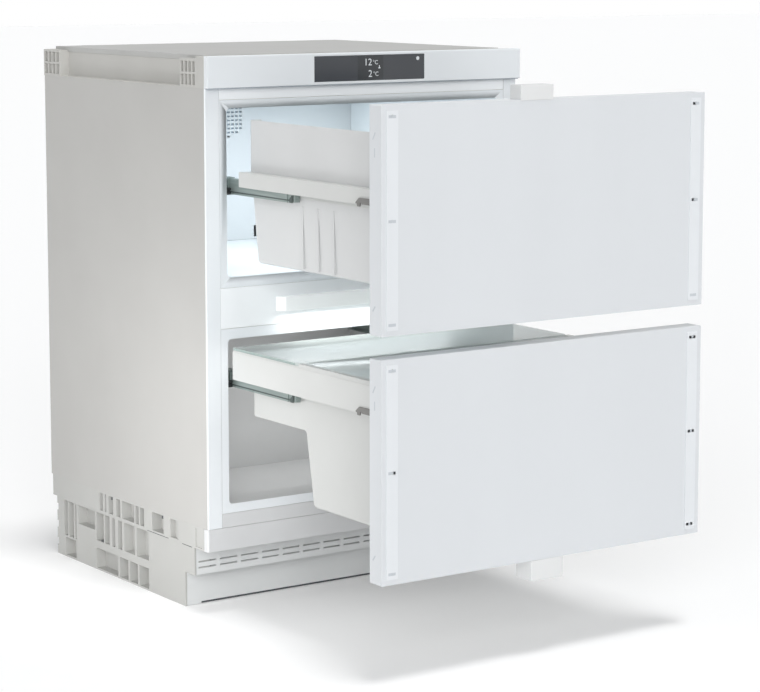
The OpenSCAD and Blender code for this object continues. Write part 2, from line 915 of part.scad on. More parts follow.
// Places of the four feet, as X and Y
foot_places = [
    [-tower_x, at(tower_front_d)], [tower_x, at(tower_front_d)],
    [-tower_x, at(tower_rear_d)], [tower_x, at(tower_rear_d)]
];

module base_tray() {
    wall = 2;
    y = span(tray_d[0], tray_d[1]);
    pocket_z = foot_clear + pad_h + rest;
    color("#aeb0af")
        difference() {
            union() {
                difference() {
                    block(sym(tray_x), y, [0, tray_t + tray_lip]);
                    block(sym(tray_x - wall), inset(y, wall), [tray_t, tray_t + tray_lip + 1]);
                }
                for (place = foot_places)
                    translate(place)
                        cylinder(r = tower_r, h = tower_h);
            }
            for (place = foot_places)
                translate(place) {
                    translate([0, 0, -1])
                        cylinder(r = foot_r + 3, h = pocket_z + 1);
                    cylinder(r = spindle_r + rest, h = tower_h + 1);
                }
        }
}

// Levelling foot: a round pad on a threaded spindle
module foot(place) {
    color("#4a4c4e")
        translate([place.x, place.y, foot_clear]) {
            cylinder(r = foot_r, h = pad_h);
            cylinder(r = spindle_r, h = tower_h + 8);
        }
}

// Pockets in the side of the carriers, as distances behind their plain front part
band_pockets = [
    [-45, -8], [18, 32], [36, 47], [51, 92], [98, 112], [123, 138], [146, 151], [158, 169]
];
foot_pockets = [[6, 46], [52, 88], [95, 109], [119, 129], [138, 154], [158, 184]];
low_pockets = [[6, 38], [43, 70], [75, 104], [110, 184]];
shelf_z = [37, 50];
// Recess in the band whose floor rises to the front, on the same scale
band_wedge = [-94, -67];
// Pockets near the carriers' rear end, as distances before it
wide_pocket = [77, 136];
wide_pocket_z = 66;
rear_pockets = [[26, 38], [41, 60], [64, 70]];
rear_low_pocket = [30, 68];

// Side carrier, an open moulding with ribs, built at negative X
module base_carrier() {
    outer = [-half_w, -half_w + carrier_w];
    lower_x = -half_w + band_step;
    pocket_x = [-half_w - 1, -half_w + pocket_in];
    hollow_x = [pocket_x[1] + carrier_t, outer[1] + 1];
    thin_x = [lower_x + carrier_t, outer[1] + 1];
    band_room = [band_z + carrier_t, shell_z - carrier_t];
    inner_z = [carrier_t, shell_z - carrier_t];
    under_band = band_z - carrier_t;
    wedge_in = 9;
    front_recess = [6, 26]; // behind the front rail's end
    recess_in = 1.5;
    color("#cfcfcb")
        difference() {
            union() {
                block(outer, span(rail_return_d + seam, carrier_d), [band_z, shell_z]);
                along_x([lower_x, outer[1]])
                    polygon([
                        [at(grille_d), band_z + eps], [at(grille_d), plinth_top],
                        [at(plinth_d), plinth_top], [at(plinth_d), 0], [at(foot_d), 0],
                        [at(foot_d), band_z + eps]
                    ]);
            }
            // room inside, open to the cabinet's middle
            block(hollow_x, span(plinth_d + 2 * carrier_t, foot_d - carrier_t), inner_z);
            block(thin_x, span(plinth_d + 2 * carrier_t, plain_d - carrier_t),
                [carrier_t, under_band]);
            block(thin_x, span(grille_d + 2 * carrier_t, plinth_d + 3 * carrier_t),
                [plinth_top + carrier_t, inner_z[1]]);
            // seats of the grille and of the plinth panel
            block(thin_x, span(grille_d - 1, grille_d + carrier_t), [plinth_top - 1, band_z]);
            block(thin_x, span(plinth_d - 1, plinth_d + carrier_t), [-1, plinth_top + eps]);
            block([-half_w - 1, -half_w + recess_in],
                span(rail_return_d + front_recess[0], rail_return_d + front_recess[1]), band_room);
            along_z(band_room)
                polygon([
                    [-half_w - 1, at(plain_d + band_wedge[0])],
                    [-half_w, at(plain_d + band_wedge[0])],
                    [-half_w + wedge_in, at(plain_d + band_wedge[1])],
                    [-half_w - 1, at(plain_d + band_wedge[1])]
                ]);
            for (d = band_pockets)
                block(pocket_x, span(plain_d + d[0], plain_d + d[1]), band_room);
            for (d = foot_pockets)
                block(pocket_x, span(plain_d + d[0], plain_d + d[1]), [shelf_z[1], under_band]);
            for (d = low_pockets)
                block(pocket_x, span(plain_d + d[0], plain_d + d[1]), [carrier_t, shelf_z[0]]);
            block(pocket_x, span(foot_d - wide_pocket[1], foot_d - wide_pocket[0]),
                [wide_pocket_z, under_band]);
            for (d = rear_pockets)
                block(pocket_x, span(foot_d - d[1], foot_d - d[0]), [shelf_z[0], under_band]);
            block(pocket_x, span(foot_d - rear_low_pocket[1], foot_d - rear_low_pocket[0]),
                [carrier_t, shelf_z[0] - carrier_t]);
            for (i = [0 : 2])
                block([-half_w - 1, -half_w + pocket_in / 2], span(foot_d - 4, foot_d + 1),
                    [16 + i * 30, 28 + i * 30]);
        }
}

// Air grille under the front rail: rows of slots with slanted blades behind them
module plinth_grille() {
    thick = carrier_t;
    half = half_w - band_step - carrier_t - rest;
    z = [plinth_top + seam, band_z - seam];
    slot_h = 2.5;
    row_foot = 11; // height of the lowest row over the grille's lower edge
    row_pitch = 9.5;
    slots = 15;
    bar_w = 7;
    margin = 4;
    slot_pitch = (2 * half - 2 * margin + bar_w) / slots;
    blade_d = 5;
    blade_t = 1.5;
    first_z = z[0] + row_foot;
    color("#d9dbdc") {
        difference() {
            block(sym(half), span(grille_d, grille_d + thick), z);
            for (row = [0 : grille_rows - 1], i = [0 : slots - 1])
                block([
                    margin - half + i * slot_pitch,
                    margin - half + (i + 1) * slot_pitch - bar_w
                ], span(grille_d - 1, grille_d + thick + 1),
                    [first_z + row * row_pitch - slot_h / 2, first_z + row * row_pitch + slot_h / 2]);
        }
        for (row = [0 : grille_rows - 1])
            translate([0, 0, first_z + row * row_pitch])
                along_x(sym(half - carrier_w))
                    polygon([
                        [at(grille_d + thick - eps), -slot_h / 2 - blade_t],
                        [at(grille_d + thick - eps), -slot_h / 2],
                        [at(grille_d + thick + blade_d), slot_h / 2],
                        [at(grille_d + thick + blade_d), slot_h / 2 - blade_t]
                    ]);
    }
}

// Plinth panel with short feet at its ends
module plinth_panel() {
    half = half_w - band_step - carrier_t - rest;
    end_foot = 26;
    color("#dddfe0")
        difference() {
            block(sym(half), span(plinth_d, plinth_d + carrier_t), [foot_clear, plinth_top - seam]);
            block(sym(half - end_foot), span(plinth_d - 1, plinth_d + carrier_t + 1),
                [0, plinth_gap]);
        }
}

// ---- Runners ----

// Cross-section of a rail: the web at "web", lips that reach to "edge"
module rail(web, edge, z, depths) {
    side = web < edge ? 1 : -1;
    along_y(span(depths[0], depths[1]))
        polygon([
            [web - open_x, z[0]], [edge - open_x, z[0]],
            [edge - open_x, z[0] + rail_t], [web + side * rail_t - open_x, z[0] + rail_t],
            [web + side * rail_t - open_x, z[1] - rail_t], [edge - open_x, z[1] - rail_t],
            [edge - open_x, z[1]], [web - open_x, z[1]]
        ]);
}

module outer_rails(hood_z) {
    z = [hood_z + rail_z[0], hood_z + rail_z[1]];
    bracket_w = 30;
    bracket_drop = 3;
    color("#b4bab8")
        both_sides() {
            rail(rail_in, rail_edge_in, z, [rail_d, rail_d + rail_l]);
            for (place = [0.04, 0.5, 0.96])
                let (d = rail_d + rail_l * place - bracket_w * place)
                    block([-open_x, rail_in - open_x], span(d, d + bracket_w),
                        [z[0], hood_z - bracket_drop]);
        }
}

// Middle rail, with a shelf that carries the inner rail and a buffer on its front end
module middle_rails(hood_z) {
    web = rail_in + rail_t + rail_gap;
    z = inset([hood_z + rail_z[0], hood_z + rail_z[1]], rail_t + rail_gap);
    shelf_top = hood_z + inner_lift - rail_gap;
    color("#9aa6a3")
        translate([0, -middle_travel, 0])
            both_sides() {
                rail(web, rail_edge_in, z, [middle_d, middle_d + middle_l]);
                block([web + eps - open_x, rail_edge_in - open_x],
                    span(middle_d, middle_d + middle_l), [shelf_top - rail_t, shelf_top]);
                block([web + rail_t - open_x, rail_edge_in - open_x],
                    span(middle_d - buffer_l, middle_d + buffer_l),
                    [z[0] + rail_t - eps, shelf_top - rail_t + eps]);
            }
}

module inner_rails(hood_z) {
    z = [hood_z + inner_lift, hood_z + rail_z[1] - 2 * (rail_t + rail_gap)];
    color("#8b9794")
        drawn_out()
            both_sides()
                rail(rail_lip_in, rail_in + 2 * (rail_t + rail_gap), z, [0, inner_l]);
}

// ---- Drawers, built closed and then drawn out ----

module drawn_out()
    translate([0, -travel, 0])
        children();

function fix_heights(z) = [for (i = [0 : 2]) z[1] - fix_top - i * fix_pitch];

// Fixing holes through the strips into the door
module fixing_holes(z, depths)
    for (x = sym(fix_x), hole_z = fix_heights(z))
        disc(x, hole_z, depths, fix_r);

module door_panel(z) {
    color("#dfe3ea")
        drawn_out()
            difference() {
                along_y(span(door_front, door_back))
                    polygon(round_rect(sym(door_half_w), z, door_r));
                along_y(span(door_front + sheet_t, door_back + 1))
                    polygon(round_rect(sym(door_half_w - sheet_t), inset(z, sheet_t),
                        max(door_r - sheet_t, 0.2)));
                fixing_holes(z, [door_front - 1, door_front + sheet_t + 1]);
            }
}

module door_foam(z) {
    color("#e3d9a8")
        drawn_out()
            difference() {
                along_y(span(door_front + sheet_t, door_back - door_liner_t))
                    polygon(round_rect(sym(door_half_w - sheet_t), inset(z, sheet_t), door_r + 1));
                fixing_holes(z, [door_front, door_front + fix_depth]);
            }
}

module door_liner(z) {
    color("#eceeef")
        drawn_out()
            along_y(span(door_back - door_liner_t, door_back))
                polygon(round_rect(sym(door_half_w - sheet_t), inset(z, sheet_t), door_r + 1));
}

// Ring of soft profile: a wide foot and a narrower lip
module door_gasket(z) {
    gasket_in = 6;
    foot_share = 0.55;
    lip_in = 3;
    foot_top = door_back + gasket_t * foot_share;
    color("#d4d8db")
        drawn_out() {
            gasket_ring(z, gasket_in, gasket_w, [door_back, foot_top]);
            gasket_ring(z, gasket_in + lip_in, gasket_w - 2 * lip_in, [foot_top, -seal_gap]);
        }
}

module gasket_ring(z, in, w, depths)
    difference() {
        along_y(span(depths[0], depths[1]))
            polygon(round_rect(sym(door_half_w - in), inset(z, in), 3));
        block(sym(door_half_w - in - w), span(depths[0] - 1, depths[1] + 1), inset(z, in + w));
    }

module door_strips(z) {
    end_gap = 8;
    x = [fix_x - fix_strip_w / 2, fix_x + fix_strip_w / 2];
    color("#e6eaef")
        drawn_out()
            difference() {
                both_sides()
                    along_y(span(door_front - fix_t, door_front))
                        polygon(round_rect(x, inset(z, end_gap), 0.8));
                fixing_holes(z, [door_front - fix_t - 1, door_front + 1]);
            }
}

// Block on the upper door's top edge, lapping its front
module upper_guide_block() {
    guide_x = [-54.5, guide_w - 54.5];
    depth = 25.6;
    lap = 1.5;
    z = upper_door_z[1];
    color("#d8d9d8")
        drawn_out() {
            block(guide_x, span(door_front - fix_t, door_front + depth - fix_t),
                [z, z + top_guide_h]);
            block(guide_x, span(door_front - fix_t, door_front), [z - lap, z + eps]);
        }
}

module lower_guide_block() {
    guide_x = [-28, guide_w - 28];
    depth = 37;
    z = lower_door_z[0];
    color("#cfd0cf")
        drawn_out()
            block(guide_x, span(door_front, door_front + depth), [z - low_guide_h, z]);
}

// Frame of a drawer: a hood over each runner, and two crossbars between them
module drawer_frame(hood_z, height, rear_d) {
    out = open_x - frame_gap;
    wall_drop = 7;
    top = hood_z + height;
    bar_t = 5;
    color("#dcdcda")
        drawn_out() {
            both_sides()
                along_y(span(door_back, rear_d))
                    polygon([
                        [-out, hood_z], [-out, top], [-hood_in, top],
                        [-hood_in, hood_z - wall_drop], [-hood_in - frame_t, hood_z - wall_drop],
                        [-hood_in - frame_t, top - frame_t], [frame_t - out, top - frame_t],
                        [frame_t - out, hood_z]
                    ]);
            block(sym(hood_in), span(door_back, door_back + frame_t), [hood_z, top]);
            block(sym(hood_in), span(rear_d - bar_t, rear_d), [hood_z, top]);
        }
}

// Dark arms beside the frame, which hold the door's back
module drawer_arms(hood_z) {
    arm_t = frame_gap - 1;
    reach = door_back + arm_l;
    z = [hood_z + 1, hood_z + 1 + arm_h];
    hook_z = z[0] - 3.5;
    notch_z = z[0] + 1.5;
    out = open_x - frame_gap;
    color("#55585a")
        drawn_out()
            both_sides()
                along_x([-out - arm_t, -out])
                    polygon([
                        [at(door_back), z[0]], [at(door_back), z[1]], [at(reach - 8), z[1]],
                        [at(reach), notch_z + 1], [at(reach), notch_z - 1],
                        [at(reach - 3), notch_z - 1], [at(reach - 4), hook_z],
                        [at(reach - 10), hook_z], [at(reach - 11), notch_z],
                        [at(reach - 15), notch_z], [at(reach - 16), z[0]]
                    ]);
}

bin_fit = 0.4; // gap between a bin and the frame's opening

// Body of the upper bin, or its cavity when "in" is the wall
module upper_bin_body(in) {
    top = upper_ceiling_z - upper_bin_gap;
    foot = upper_floor_z + upper_bin_foot;
    ledge = upper_hood_z + upper_frame_h;
    out = hood_in + 1.8 - in;
    low = hood_in - bin_fit - in;
    rear_flare = 3;
    flare_h = 14;
    rear = upper_frame_d - rear_flare;
    rear_slope = 14;
    up = in > 0 ? 1 : 0;
    intersection() {
        along_y(span(bin_front + in, upper_frame_d))
            polygon(rounded([
                [-out, top + up], [-out, ledge + in], [-low, ledge + in],
                [bin_draft - low, foot + in], [low - bin_draft, foot + in],
                [low, ledge + in], [out, ledge + in], [out, top + up]
            ], [0, 0, 0, bin_foot_r, bin_foot_r, 0, 0, 0]));
        along_x(sym(open_x))
            polygon(rounded([
                [at(bin_front + in), top + up], [at(bin_front + in + 4), foot + in],
                [at(rear - in - rear_slope), foot + in], [at(rear - in), top - flare_h],
                [at(rear - in + rear_flare), top + up]
            ], [0, bin_foot_r, bin_foot_r, 20, 0]));
        along_z([foot - 1, top + 2])
            polygon(round_rect(sym(out), span(bin_front + in, upper_frame_d - in), bin_r));
    }
}

// Upper bin, with its rear wall cut down between the corners
module upper_bin() {
    top = upper_ceiling_z - upper_bin_gap;
    corner_w = 20;
    flank_w = 30;
    notch = hood_in - corner_w;
    color("#dcdedd")
        drawn_out()
            difference() {
                upper_bin_body(0);
                upper_bin_body(bin_t);
                along_y(span(upper_frame_d - bin_r - corner_w, upper_frame_d + 1))
                    polygon(rounded([
                        [-notch, top + 1], [flank_w - notch, top - bin_back_drop],
                        [notch - flank_w, top - bin_back_drop], [notch, top + 1]
                    ], [0, 12, 12, 0]));
            }
}

// Body of the lower bin under its flange, or its cavity when "in" is the wall
module lower_bin_body(in) {
    top = lower_rim_z - bin_t + eps;
    step = step_z + bin_step_gap;
    foot = lower_floor_z + lower_bin_foot;
    low = hood_in - bin_fit - in;
    rear = lower_frame_d - 24;
    deep_slope = 17;
    up = in > 0 ? 10 : 0;
    intersection() {
        along_y(span(bin_front + in, rear - in))
            polygon(rounded([
                [-low, top + up], [-low, top - 1], [bin_draft - low, foot + in],
                [low - bin_draft, foot + in], [low, top - 1], [low, top + up]
            ], [0, 0, bin_foot_r, bin_foot_r, 0, 0]));
        along_x(sym(open_x))
            polygon(rounded([
                [at(bin_front + in), top + up], [at(bin_front + in + 5), foot + in],
                [at(deep_d - in - deep_slope), foot + in], [at(deep_d - in), step + in],
                [at(rear - in - 3), step + in], [at(rear - in), top + up]
            ], [0, bin_foot_r, bin_foot_r, bin_foot_r, bin_foot_r, 0]));
        along_z([foot - 1, top + 11])
            polygon(round_rect(sym(low), span(bin_front + in, rear - in), bin_r));
    }
}

// Bin with a deep front part, a flange on the frame and a raised rim round the open part
module lower_bin() {
    out = open_x - frame_gap;
    color("#dbdcda")
        drawn_out()
            difference() {
                union() {
                    lower_bin_body(0);
                    along_z([lower_rim_z - bin_t, lower_rim_z])
                        polygon(round_rect(sym(out), span(bin_front, lower_frame_d), 3));
                    block(sym(out), span(bin_front, glass_d - rest),
                        [lower_rim_z - eps, lower_rim_top]);
                }
                lower_bin_body(bin_t);
                block(sym(out - rim_w), span(bin_front + rim_w, glass_d),
                    [lower_rim_z, lower_rim_top + 1]);
            }
}

// Glass shelf that covers the rear part of the lower bin
module glass_plate() {
    out = open_x - frame_gap - 1;
    front_r = 10;
    color("#cfe3dc")
        drawn_out()
            along_z([lower_rim_z, lower_rim_top])
                polygon(rounded([
                    [-out, at(glass_d)], [out, at(glass_d)], [out, at(lower_frame_d)],
                    [-out, at(lower_frame_d)]
                ], [front_r, front_r, 2, 2]));
}

side_panel();  // side_panel_left
mirror([1, 0, 0]) side_panel();  // side_panel_right
back_panel();
bottom_sheet();
insulation_foam();
upper_liner();
lower_liner();
upper_crossrail();
divider_cover();
lower_crossrail();
base_front_rail();
divider_lamp();
top_frame();
top_plate();
fascia();
display_module();
air_cover();
evaporator();
evaporator_fan_motor();
evaporator_impeller();
compressor();
drip_tray();
condenser();
condenser_fan_motor();
condenser_impeller();
base_tray();
base_carrier();  // base_carrier_left
mirror([1, 0, 0]) base_carrier();  // base_carrier_right
plinth_grille();
plinth_panel();
foot(foot_places[0]);  // foot_front_left
foot(foot_places[1]);  // foot_front_right
foot(foot_places[2]);  // foot_rear_left
foot(foot_places[3]);  // foot_rear_right
outer_rails(upper_hood_z);  // upper_outer_rails
middle_rails(upper_hood_z);  // upper_middle_rails
outer_rails(lower_hood_z);  // lower_outer_rails
middle_rails(lower_hood_z);  // lower_middle_rails
door_panel(upper_door_z);  // upper_door_panel
door_foam(upper_door_z);  // upper_door_foam
door_liner(upper_door_z);  // upper_door_liner
door_gasket(upper_door_z);  // upper_door_gasket
door_strips(upper_door_z);  // upper_door_strips
upper_guide_block();
drawer_frame(upper_hood_z, upper_frame_h, upper_frame_d);  // upper_frame
drawer_arms(upper_hood_z);  // upper_arms
inner_rails(upper_hood_z);  // upper_inner_rails
upper_bin();
door_panel(lower_door_z);  // lower_door_panel
door_foam(lower_door_z);  // lower_door_foam
door_liner(lower_door_z);  // lower_door_liner
door_gasket(lower_door_z);  // lower_door_gasket
door_strips(lower_door_z);  // lower_door_strips
lower_guide_block();
drawer_frame(lower_hood_z, lower_frame_h, lower_frame_d);  // lower_frame
drawer_arms(lower_hood_z);  // lower_arms
inner_rails(lower_hood_z);  // lower_inner_rails
lower_bin();
glass_plate();
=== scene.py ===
import json
import math

import bmesh
import bpy
from mathutils import Matrix, Vector


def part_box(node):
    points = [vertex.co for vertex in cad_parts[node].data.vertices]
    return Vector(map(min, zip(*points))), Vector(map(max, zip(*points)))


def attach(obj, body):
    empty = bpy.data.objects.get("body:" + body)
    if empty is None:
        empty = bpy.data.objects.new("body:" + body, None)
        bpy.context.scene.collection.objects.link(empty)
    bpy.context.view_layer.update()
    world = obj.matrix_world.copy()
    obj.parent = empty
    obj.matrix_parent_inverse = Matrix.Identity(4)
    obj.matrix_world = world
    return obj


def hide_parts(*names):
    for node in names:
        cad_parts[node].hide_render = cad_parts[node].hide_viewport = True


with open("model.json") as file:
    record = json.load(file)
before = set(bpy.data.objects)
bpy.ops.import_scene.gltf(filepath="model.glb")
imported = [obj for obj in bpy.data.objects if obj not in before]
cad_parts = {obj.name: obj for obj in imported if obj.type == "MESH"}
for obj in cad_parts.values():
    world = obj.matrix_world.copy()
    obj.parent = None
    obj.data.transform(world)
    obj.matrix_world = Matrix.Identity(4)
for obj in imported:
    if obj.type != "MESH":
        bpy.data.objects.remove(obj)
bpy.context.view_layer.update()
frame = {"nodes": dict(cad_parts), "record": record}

# Undercounter drawer refrigerator: finishes, rounded edges and small fittings around the solids.
# Metres, in the solids' own frame: X to the right, Y to the back, Z up.

MM = 0.001
BODY_OF = {node: body for body, nodes in frame["record"]["behaviour"]["bodies"].items()
           for node in nodes}
DRAWERS = ("upper", "lower")
GRAIN_DEPTH = 0.05 * MM


# ---- Measures taken from the solids ----

cabinet_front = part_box("base_front_rail")[0].y
carrier_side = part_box("base_carrier_left")[0].x
upper_liner_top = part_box("upper_liner")[1].z
lower_liner_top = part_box("lower_liner")[1].z
lamp_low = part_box("divider_lamp")[0]
fascia_low, fascia_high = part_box("fascia")
display_low, display_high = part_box("display_module")
glass_low, glass_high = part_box("glass_plate")
cover_low, cover_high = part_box("air_cover")
grille_low, grille_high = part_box("plinth_grille")
plinth_low, plinth_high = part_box("plinth_panel")


# ---- Finishes ----

def linear(hex_colour):
    """Linear colour of a screen colour such as #c3c2bf."""
    channels = [int(hex_colour[i:i + 2], 16) / 255 for i in (1, 3, 5)]
    return [c / 12.92 if c <= 0.04045 else ((c + 0.055) / 1.055) ** 2.4 for c in channels] + [1.0]


def finish(name, light, dark, roughness, grain=0.0, grain_scale=1500.0, cloud_scale=9.0,
           metallic=0.0, coat=0.0, stretch=(1.0, 1.0, 1.0), glow=0.0, rough_spread=0.05):
    """A finish whose tone drifts between two near colours, over a fine grain."""
    made = bpy.data.materials.new(name)
    made.use_nodes = True
    nodes, links = made.node_tree.nodes, made.node_tree.links
    shader = nodes["Principled BSDF"]
    place = nodes.new("ShaderNodeTexCoord")
    turn = nodes.new("ShaderNodeMapping")
    turn.inputs["Scale"].default_value = stretch
    links.new(place.outputs["Object"], turn.inputs["Vector"])

    cloud = nodes.new("ShaderNodeTexNoise")
    cloud.inputs["Scale"].default_value = cloud_scale
    cloud.inputs["Detail"].default_value = 3.0
    links.new(turn.outputs["Vector"], cloud.inputs["Vector"])
    tones = nodes.new("ShaderNodeValToRGB")
    tones.color_ramp.elements[0].position = 0.3
    tones.color_ramp.elements[0].color = linear(dark)
    tones.color_ramp.elements[1].position = 0.7
    tones.color_ramp.elements[1].color = linear(light)
    links.new(cloud.outputs["Fac"], tones.inputs["Fac"])
    links.new(tones.outputs["Color"], shader.inputs["Base Color"])

    speck = nodes.new("ShaderNodeTexNoise")
    speck.inputs["Scale"].default_value = grain_scale
    speck.inputs["Detail"].default_value = 2.0
    links.new(turn.outputs["Vector"], speck.inputs["Vector"])
    sheen = nodes.new("ShaderNodeMapRange")
    sheen.inputs["To Min"].default_value = roughness - rough_spread
    sheen.inputs["To Max"].default_value = roughness + rough_spread
    links.new(speck.outputs["Fac"], sheen.inputs["Value"])
    links.new(sheen.outputs["Result"], shader.inputs["Roughness"])
    if grain:
        bump = nodes.new("ShaderNodeBump")
        bump.inputs["Strength"].default_value = grain
        bump.inputs["Distance"].default_value = GRAIN_DEPTH
        links.new(speck.outputs["Fac"], bump.inputs["Height"])
        links.new(bump.outputs["Normal"], shader.inputs["Normal"])

    shader.inputs["Metallic"].default_value = metallic
    shader.inputs["Coat Weight"].default_value = coat
    shader.inputs["Coat Roughness"].default_value = 0.25
    if glow:
        shader.inputs["Emission Color"].default_value = linear(light)
        shader.inputs["Emission Strength"].default_value = glow
    return made


def clear_glass(name, tint, roughness, cover):
    """Plate glass with a faintly uneven polish, which hides a share of what is behind it."""
    made = finish(name, tint, tint, roughness, grain=0.05, grain_scale=60.0, rough_spread=0.01)
    shader = made.node_tree.nodes["Principled BSDF"]
    shader.inputs["Alpha"].default_value = cover
    shader.inputs["IOR"].default_value = 1.5
    return made


# Side coat: the front frame's paint darkened, as painted shade on the cabinet's sides
SIDE_COAT_PAINTED_SHADE = finish("side_coat_painted_shade", "#b3b2af", "#b0afac", 0.42, grain=0.25, grain_scale=900)
BACK_COAT = finish("back_coat", "#bdbbb7", "#b5b3af", 0.5, grain=0.3, grain_scale=700)
TOP_COAT = finish("top_coat", "#b1b1af", "#adadab", 0.6, grain=0.25, grain_scale=900)
FRONT_COAT = finish("front_coat", "#e3e7ea", "#e0e4e7", 0.38, grain=0.15, grain_scale=1100)
FASCIA_COAT = finish("fascia_coat", "#dfe3e6", "#dce0e3", 0.38, grain=0.15, grain_scale=1100)
# Front frame paint lightened for the upper crossrail and the divider, which sit in shade under
# the fascia and drawers: painted light
FRONT_COAT_PAINTED_LIGHT = finish("front_coat_painted_light", "#f0f3f5", "#edf0f2", 0.38, grain=0.15, grain_scale=1100)
# Front frame paint darkened for the lower crossrail and base rail, low under the doors: painted
# shade
FRONT_COAT_PAINTED_SHADE = finish("front_coat_painted_shade", "#d0d1d2", "#cccdce", 0.4, grain=0.15, grain_scale=1100)
DOOR_COAT = finish("door_coat", "#d5d8db", "#d2d5d8", 0.36, grain=0.12, grain_scale=1200,
                   coat=0.1, stretch=(1.0, 1.0, 0.2), cloud_scale=6.0)
STRIP_COAT = finish("strip_coat", "#dde0e3", "#dadde0", 0.38, grain=0.1)
CLIP_PLASTIC = finish("clip_plastic", "#c3c8cd", "#bbc0c5", 0.5, grain=0.3)
UPPER_LINING = finish("upper_lining", "#eef3f5", "#ebf0f3", 0.34, grain=0.15, grain_scale=500)
LOWER_LINING = finish("lower_lining", "#dcdddd", "#d7d8d8", 0.36, grain=0.15, grain_scale=500)
SCREEN_PLASTIC = finish("screen_plastic", "#aebcc8", "#a3b2bf", 0.5, grain=0.3)
# Grey sheet behind the grille's slots: painted shade of the louvres inside
LOUVRE_PAINTED_SHADE = finish("louvre_painted_shade", "#a4a5a5", "#9b9c9c", 0.6, grain=0.4)
COVER_PLASTIC = finish("cover_plastic", "#dadee0", "#d6dadd", 0.4, grain=0.2, grain_scale=600)
HEAD_PLASTIC = finish("head_plastic", "#bab9b5", "#b5b4b0", 0.55, grain=0.5, grain_scale=1400)
CARRIER_PLASTIC = finish("carrier_plastic", "#b6b6b3", "#b1b1ae", 0.55, grain=0.5,
                         grain_scale=1400)
PLINTH_PLASTIC = finish("plinth_plastic", "#d8dada", "#d4d6d6", 0.5, grain=0.4, grain_scale=1400)
DRAWER_PLASTIC = finish("drawer_plastic", "#cbccca", "#c7c8c6", 0.45, grain=0.4,
                        grain_scale=1300)
BIN_PLASTIC = finish("bin_plastic", "#cecfcf", "#cacbcb", 0.42, grain=0.3, grain_scale=1300)
# Bin plastic darkened for the lower bin under the upper drawer: painted shade
BIN_PLASTIC_PAINTED_SHADE = finish("lower_bin_painted_shade", "#c6c7c5", "#c2c3c1", 0.42, grain=0.3,
                           grain_scale=1300)
GUIDE_PLASTIC = finish("guide_plastic", "#dcdddd", "#d5d6d6", 0.5, grain=0.4, grain_scale=1300)
LAMP_DIFFUSER = finish("lamp_diffuser", "#e8eaea", "#e3e5e6", 0.5, grain=0.2, glow=0.2)
DISPLAY_GLASS = finish("display_glass", "#3b3e43", "#373a3f", 0.14, coat=0.3, rough_spread=0.02)
DISPLAY_PANE = finish("display_pane", "#2f3235", "#2b2e31", 0.14, coat=0.3, rough_spread=0.02)
DISPLAY_LIGHT = finish("display_light", "#d3d7da", "#c8ccd0", 0.6, glow=0.1)
DARK_PLASTIC = finish("dark_plastic", "#4e5153", "#434648", 0.5, grain=0.5, grain_scale=1300)
ARM_PLASTIC = finish("arm_plastic", "#7c7b78", "#72716f", 0.45, grain=0.4, grain_scale=1300)
FAN_PLASTIC = finish("fan_plastic", "#e4e4e2", "#dadad8", 0.45, grain=0.3)
BLACK_PLASTIC = finish("black_plastic", "#26282a", "#1f2122", 0.5, grain=0.4)
COMPRESSOR_COAT = finish("compressor_coat", "#2f3133", "#26282a", 0.35, grain=0.5,
                         grain_scale=300)
TRAY_PLASTIC = finish("tray_plastic", "#dcdddb", "#d1d2d0", 0.5, grain=0.4)
CONDENSER_COAT = finish("condenser_coat", "#74787a", "#666a6c", 0.5, grain=0.3)
FIN_METAL = finish("fin_metal", "#d0d3d4", "#bfc3c4", 0.35, metallic=0.8,
                   stretch=(1.0, 0.1, 1.0), grain=0.2)
BASE_STEEL = finish("base_steel", "#b8baba", "#a6a8a8", 0.4, metallic=0.5, cloud_scale=60.0,
                    grain=0.2, grain_scale=400)
RAIL_STEEL = finish("rail_steel", "#9ca7a4", "#8c9895", 0.38, metallic=0.55,
                    stretch=(1.0, 0.04, 1.0), cloud_scale=300.0, grain=0.3, grain_scale=2200)
# Dark finish of the ball tracks, as painted shade of their grooves, and of the rails' dark
# plastic caps
RAIL_GROOVE_PAINTED_SHADE_AND_CAP = finish("rail_groove_painted_shade_and_cap", "#56605e", "#4b5553", 0.45, metallic=0.4,
                    stretch=(1.0, 0.04, 1.0), cloud_scale=300.0, grain=0.3, grain_scale=2200)
FOAM = finish("foam", "#d3cfbd", "#c8c4b2", 0.8, grain=1.0, grain_scale=250)
GASKET_RUBBER = finish("gasket_rubber", "#d8dcdf", "#cdd1d4", 0.65, grain=0.4, grain_scale=900)
# Grey-blue strip under the fascia: painted shadow in the gap over the upper door
HEAD_GAP_PAINTED_SHADOW = finish("head_gap_painted_shadow", "#8f97a2", "#868e99", 0.65, grain=0.4, grain_scale=900)
# Dark strip in the gap under the plinth panel: painted shadow
PLINTH_GAP_PAINTED_SHADOW = finish("plinth_gap_painted_shadow", "#4f5256", "#46494c", 0.7, grain=0.3)
# Glass with its own pale tint; its cover also stands in for the light that reaches the bins
# through the glass, higher on the front plate: painted light over the shaded bins
SHELF_GLASS = clear_glass("shelf_glass", "#e6efed", 0.08, 0.68)
FRONT_GLASS = clear_glass("front_glass", "#e8f1ef", 0.08, 0.85)
GLASS_EDGE = finish("glass_edge", "#9fada9", "#93a29e", 0.25, grain=0.1, coat=0.3)

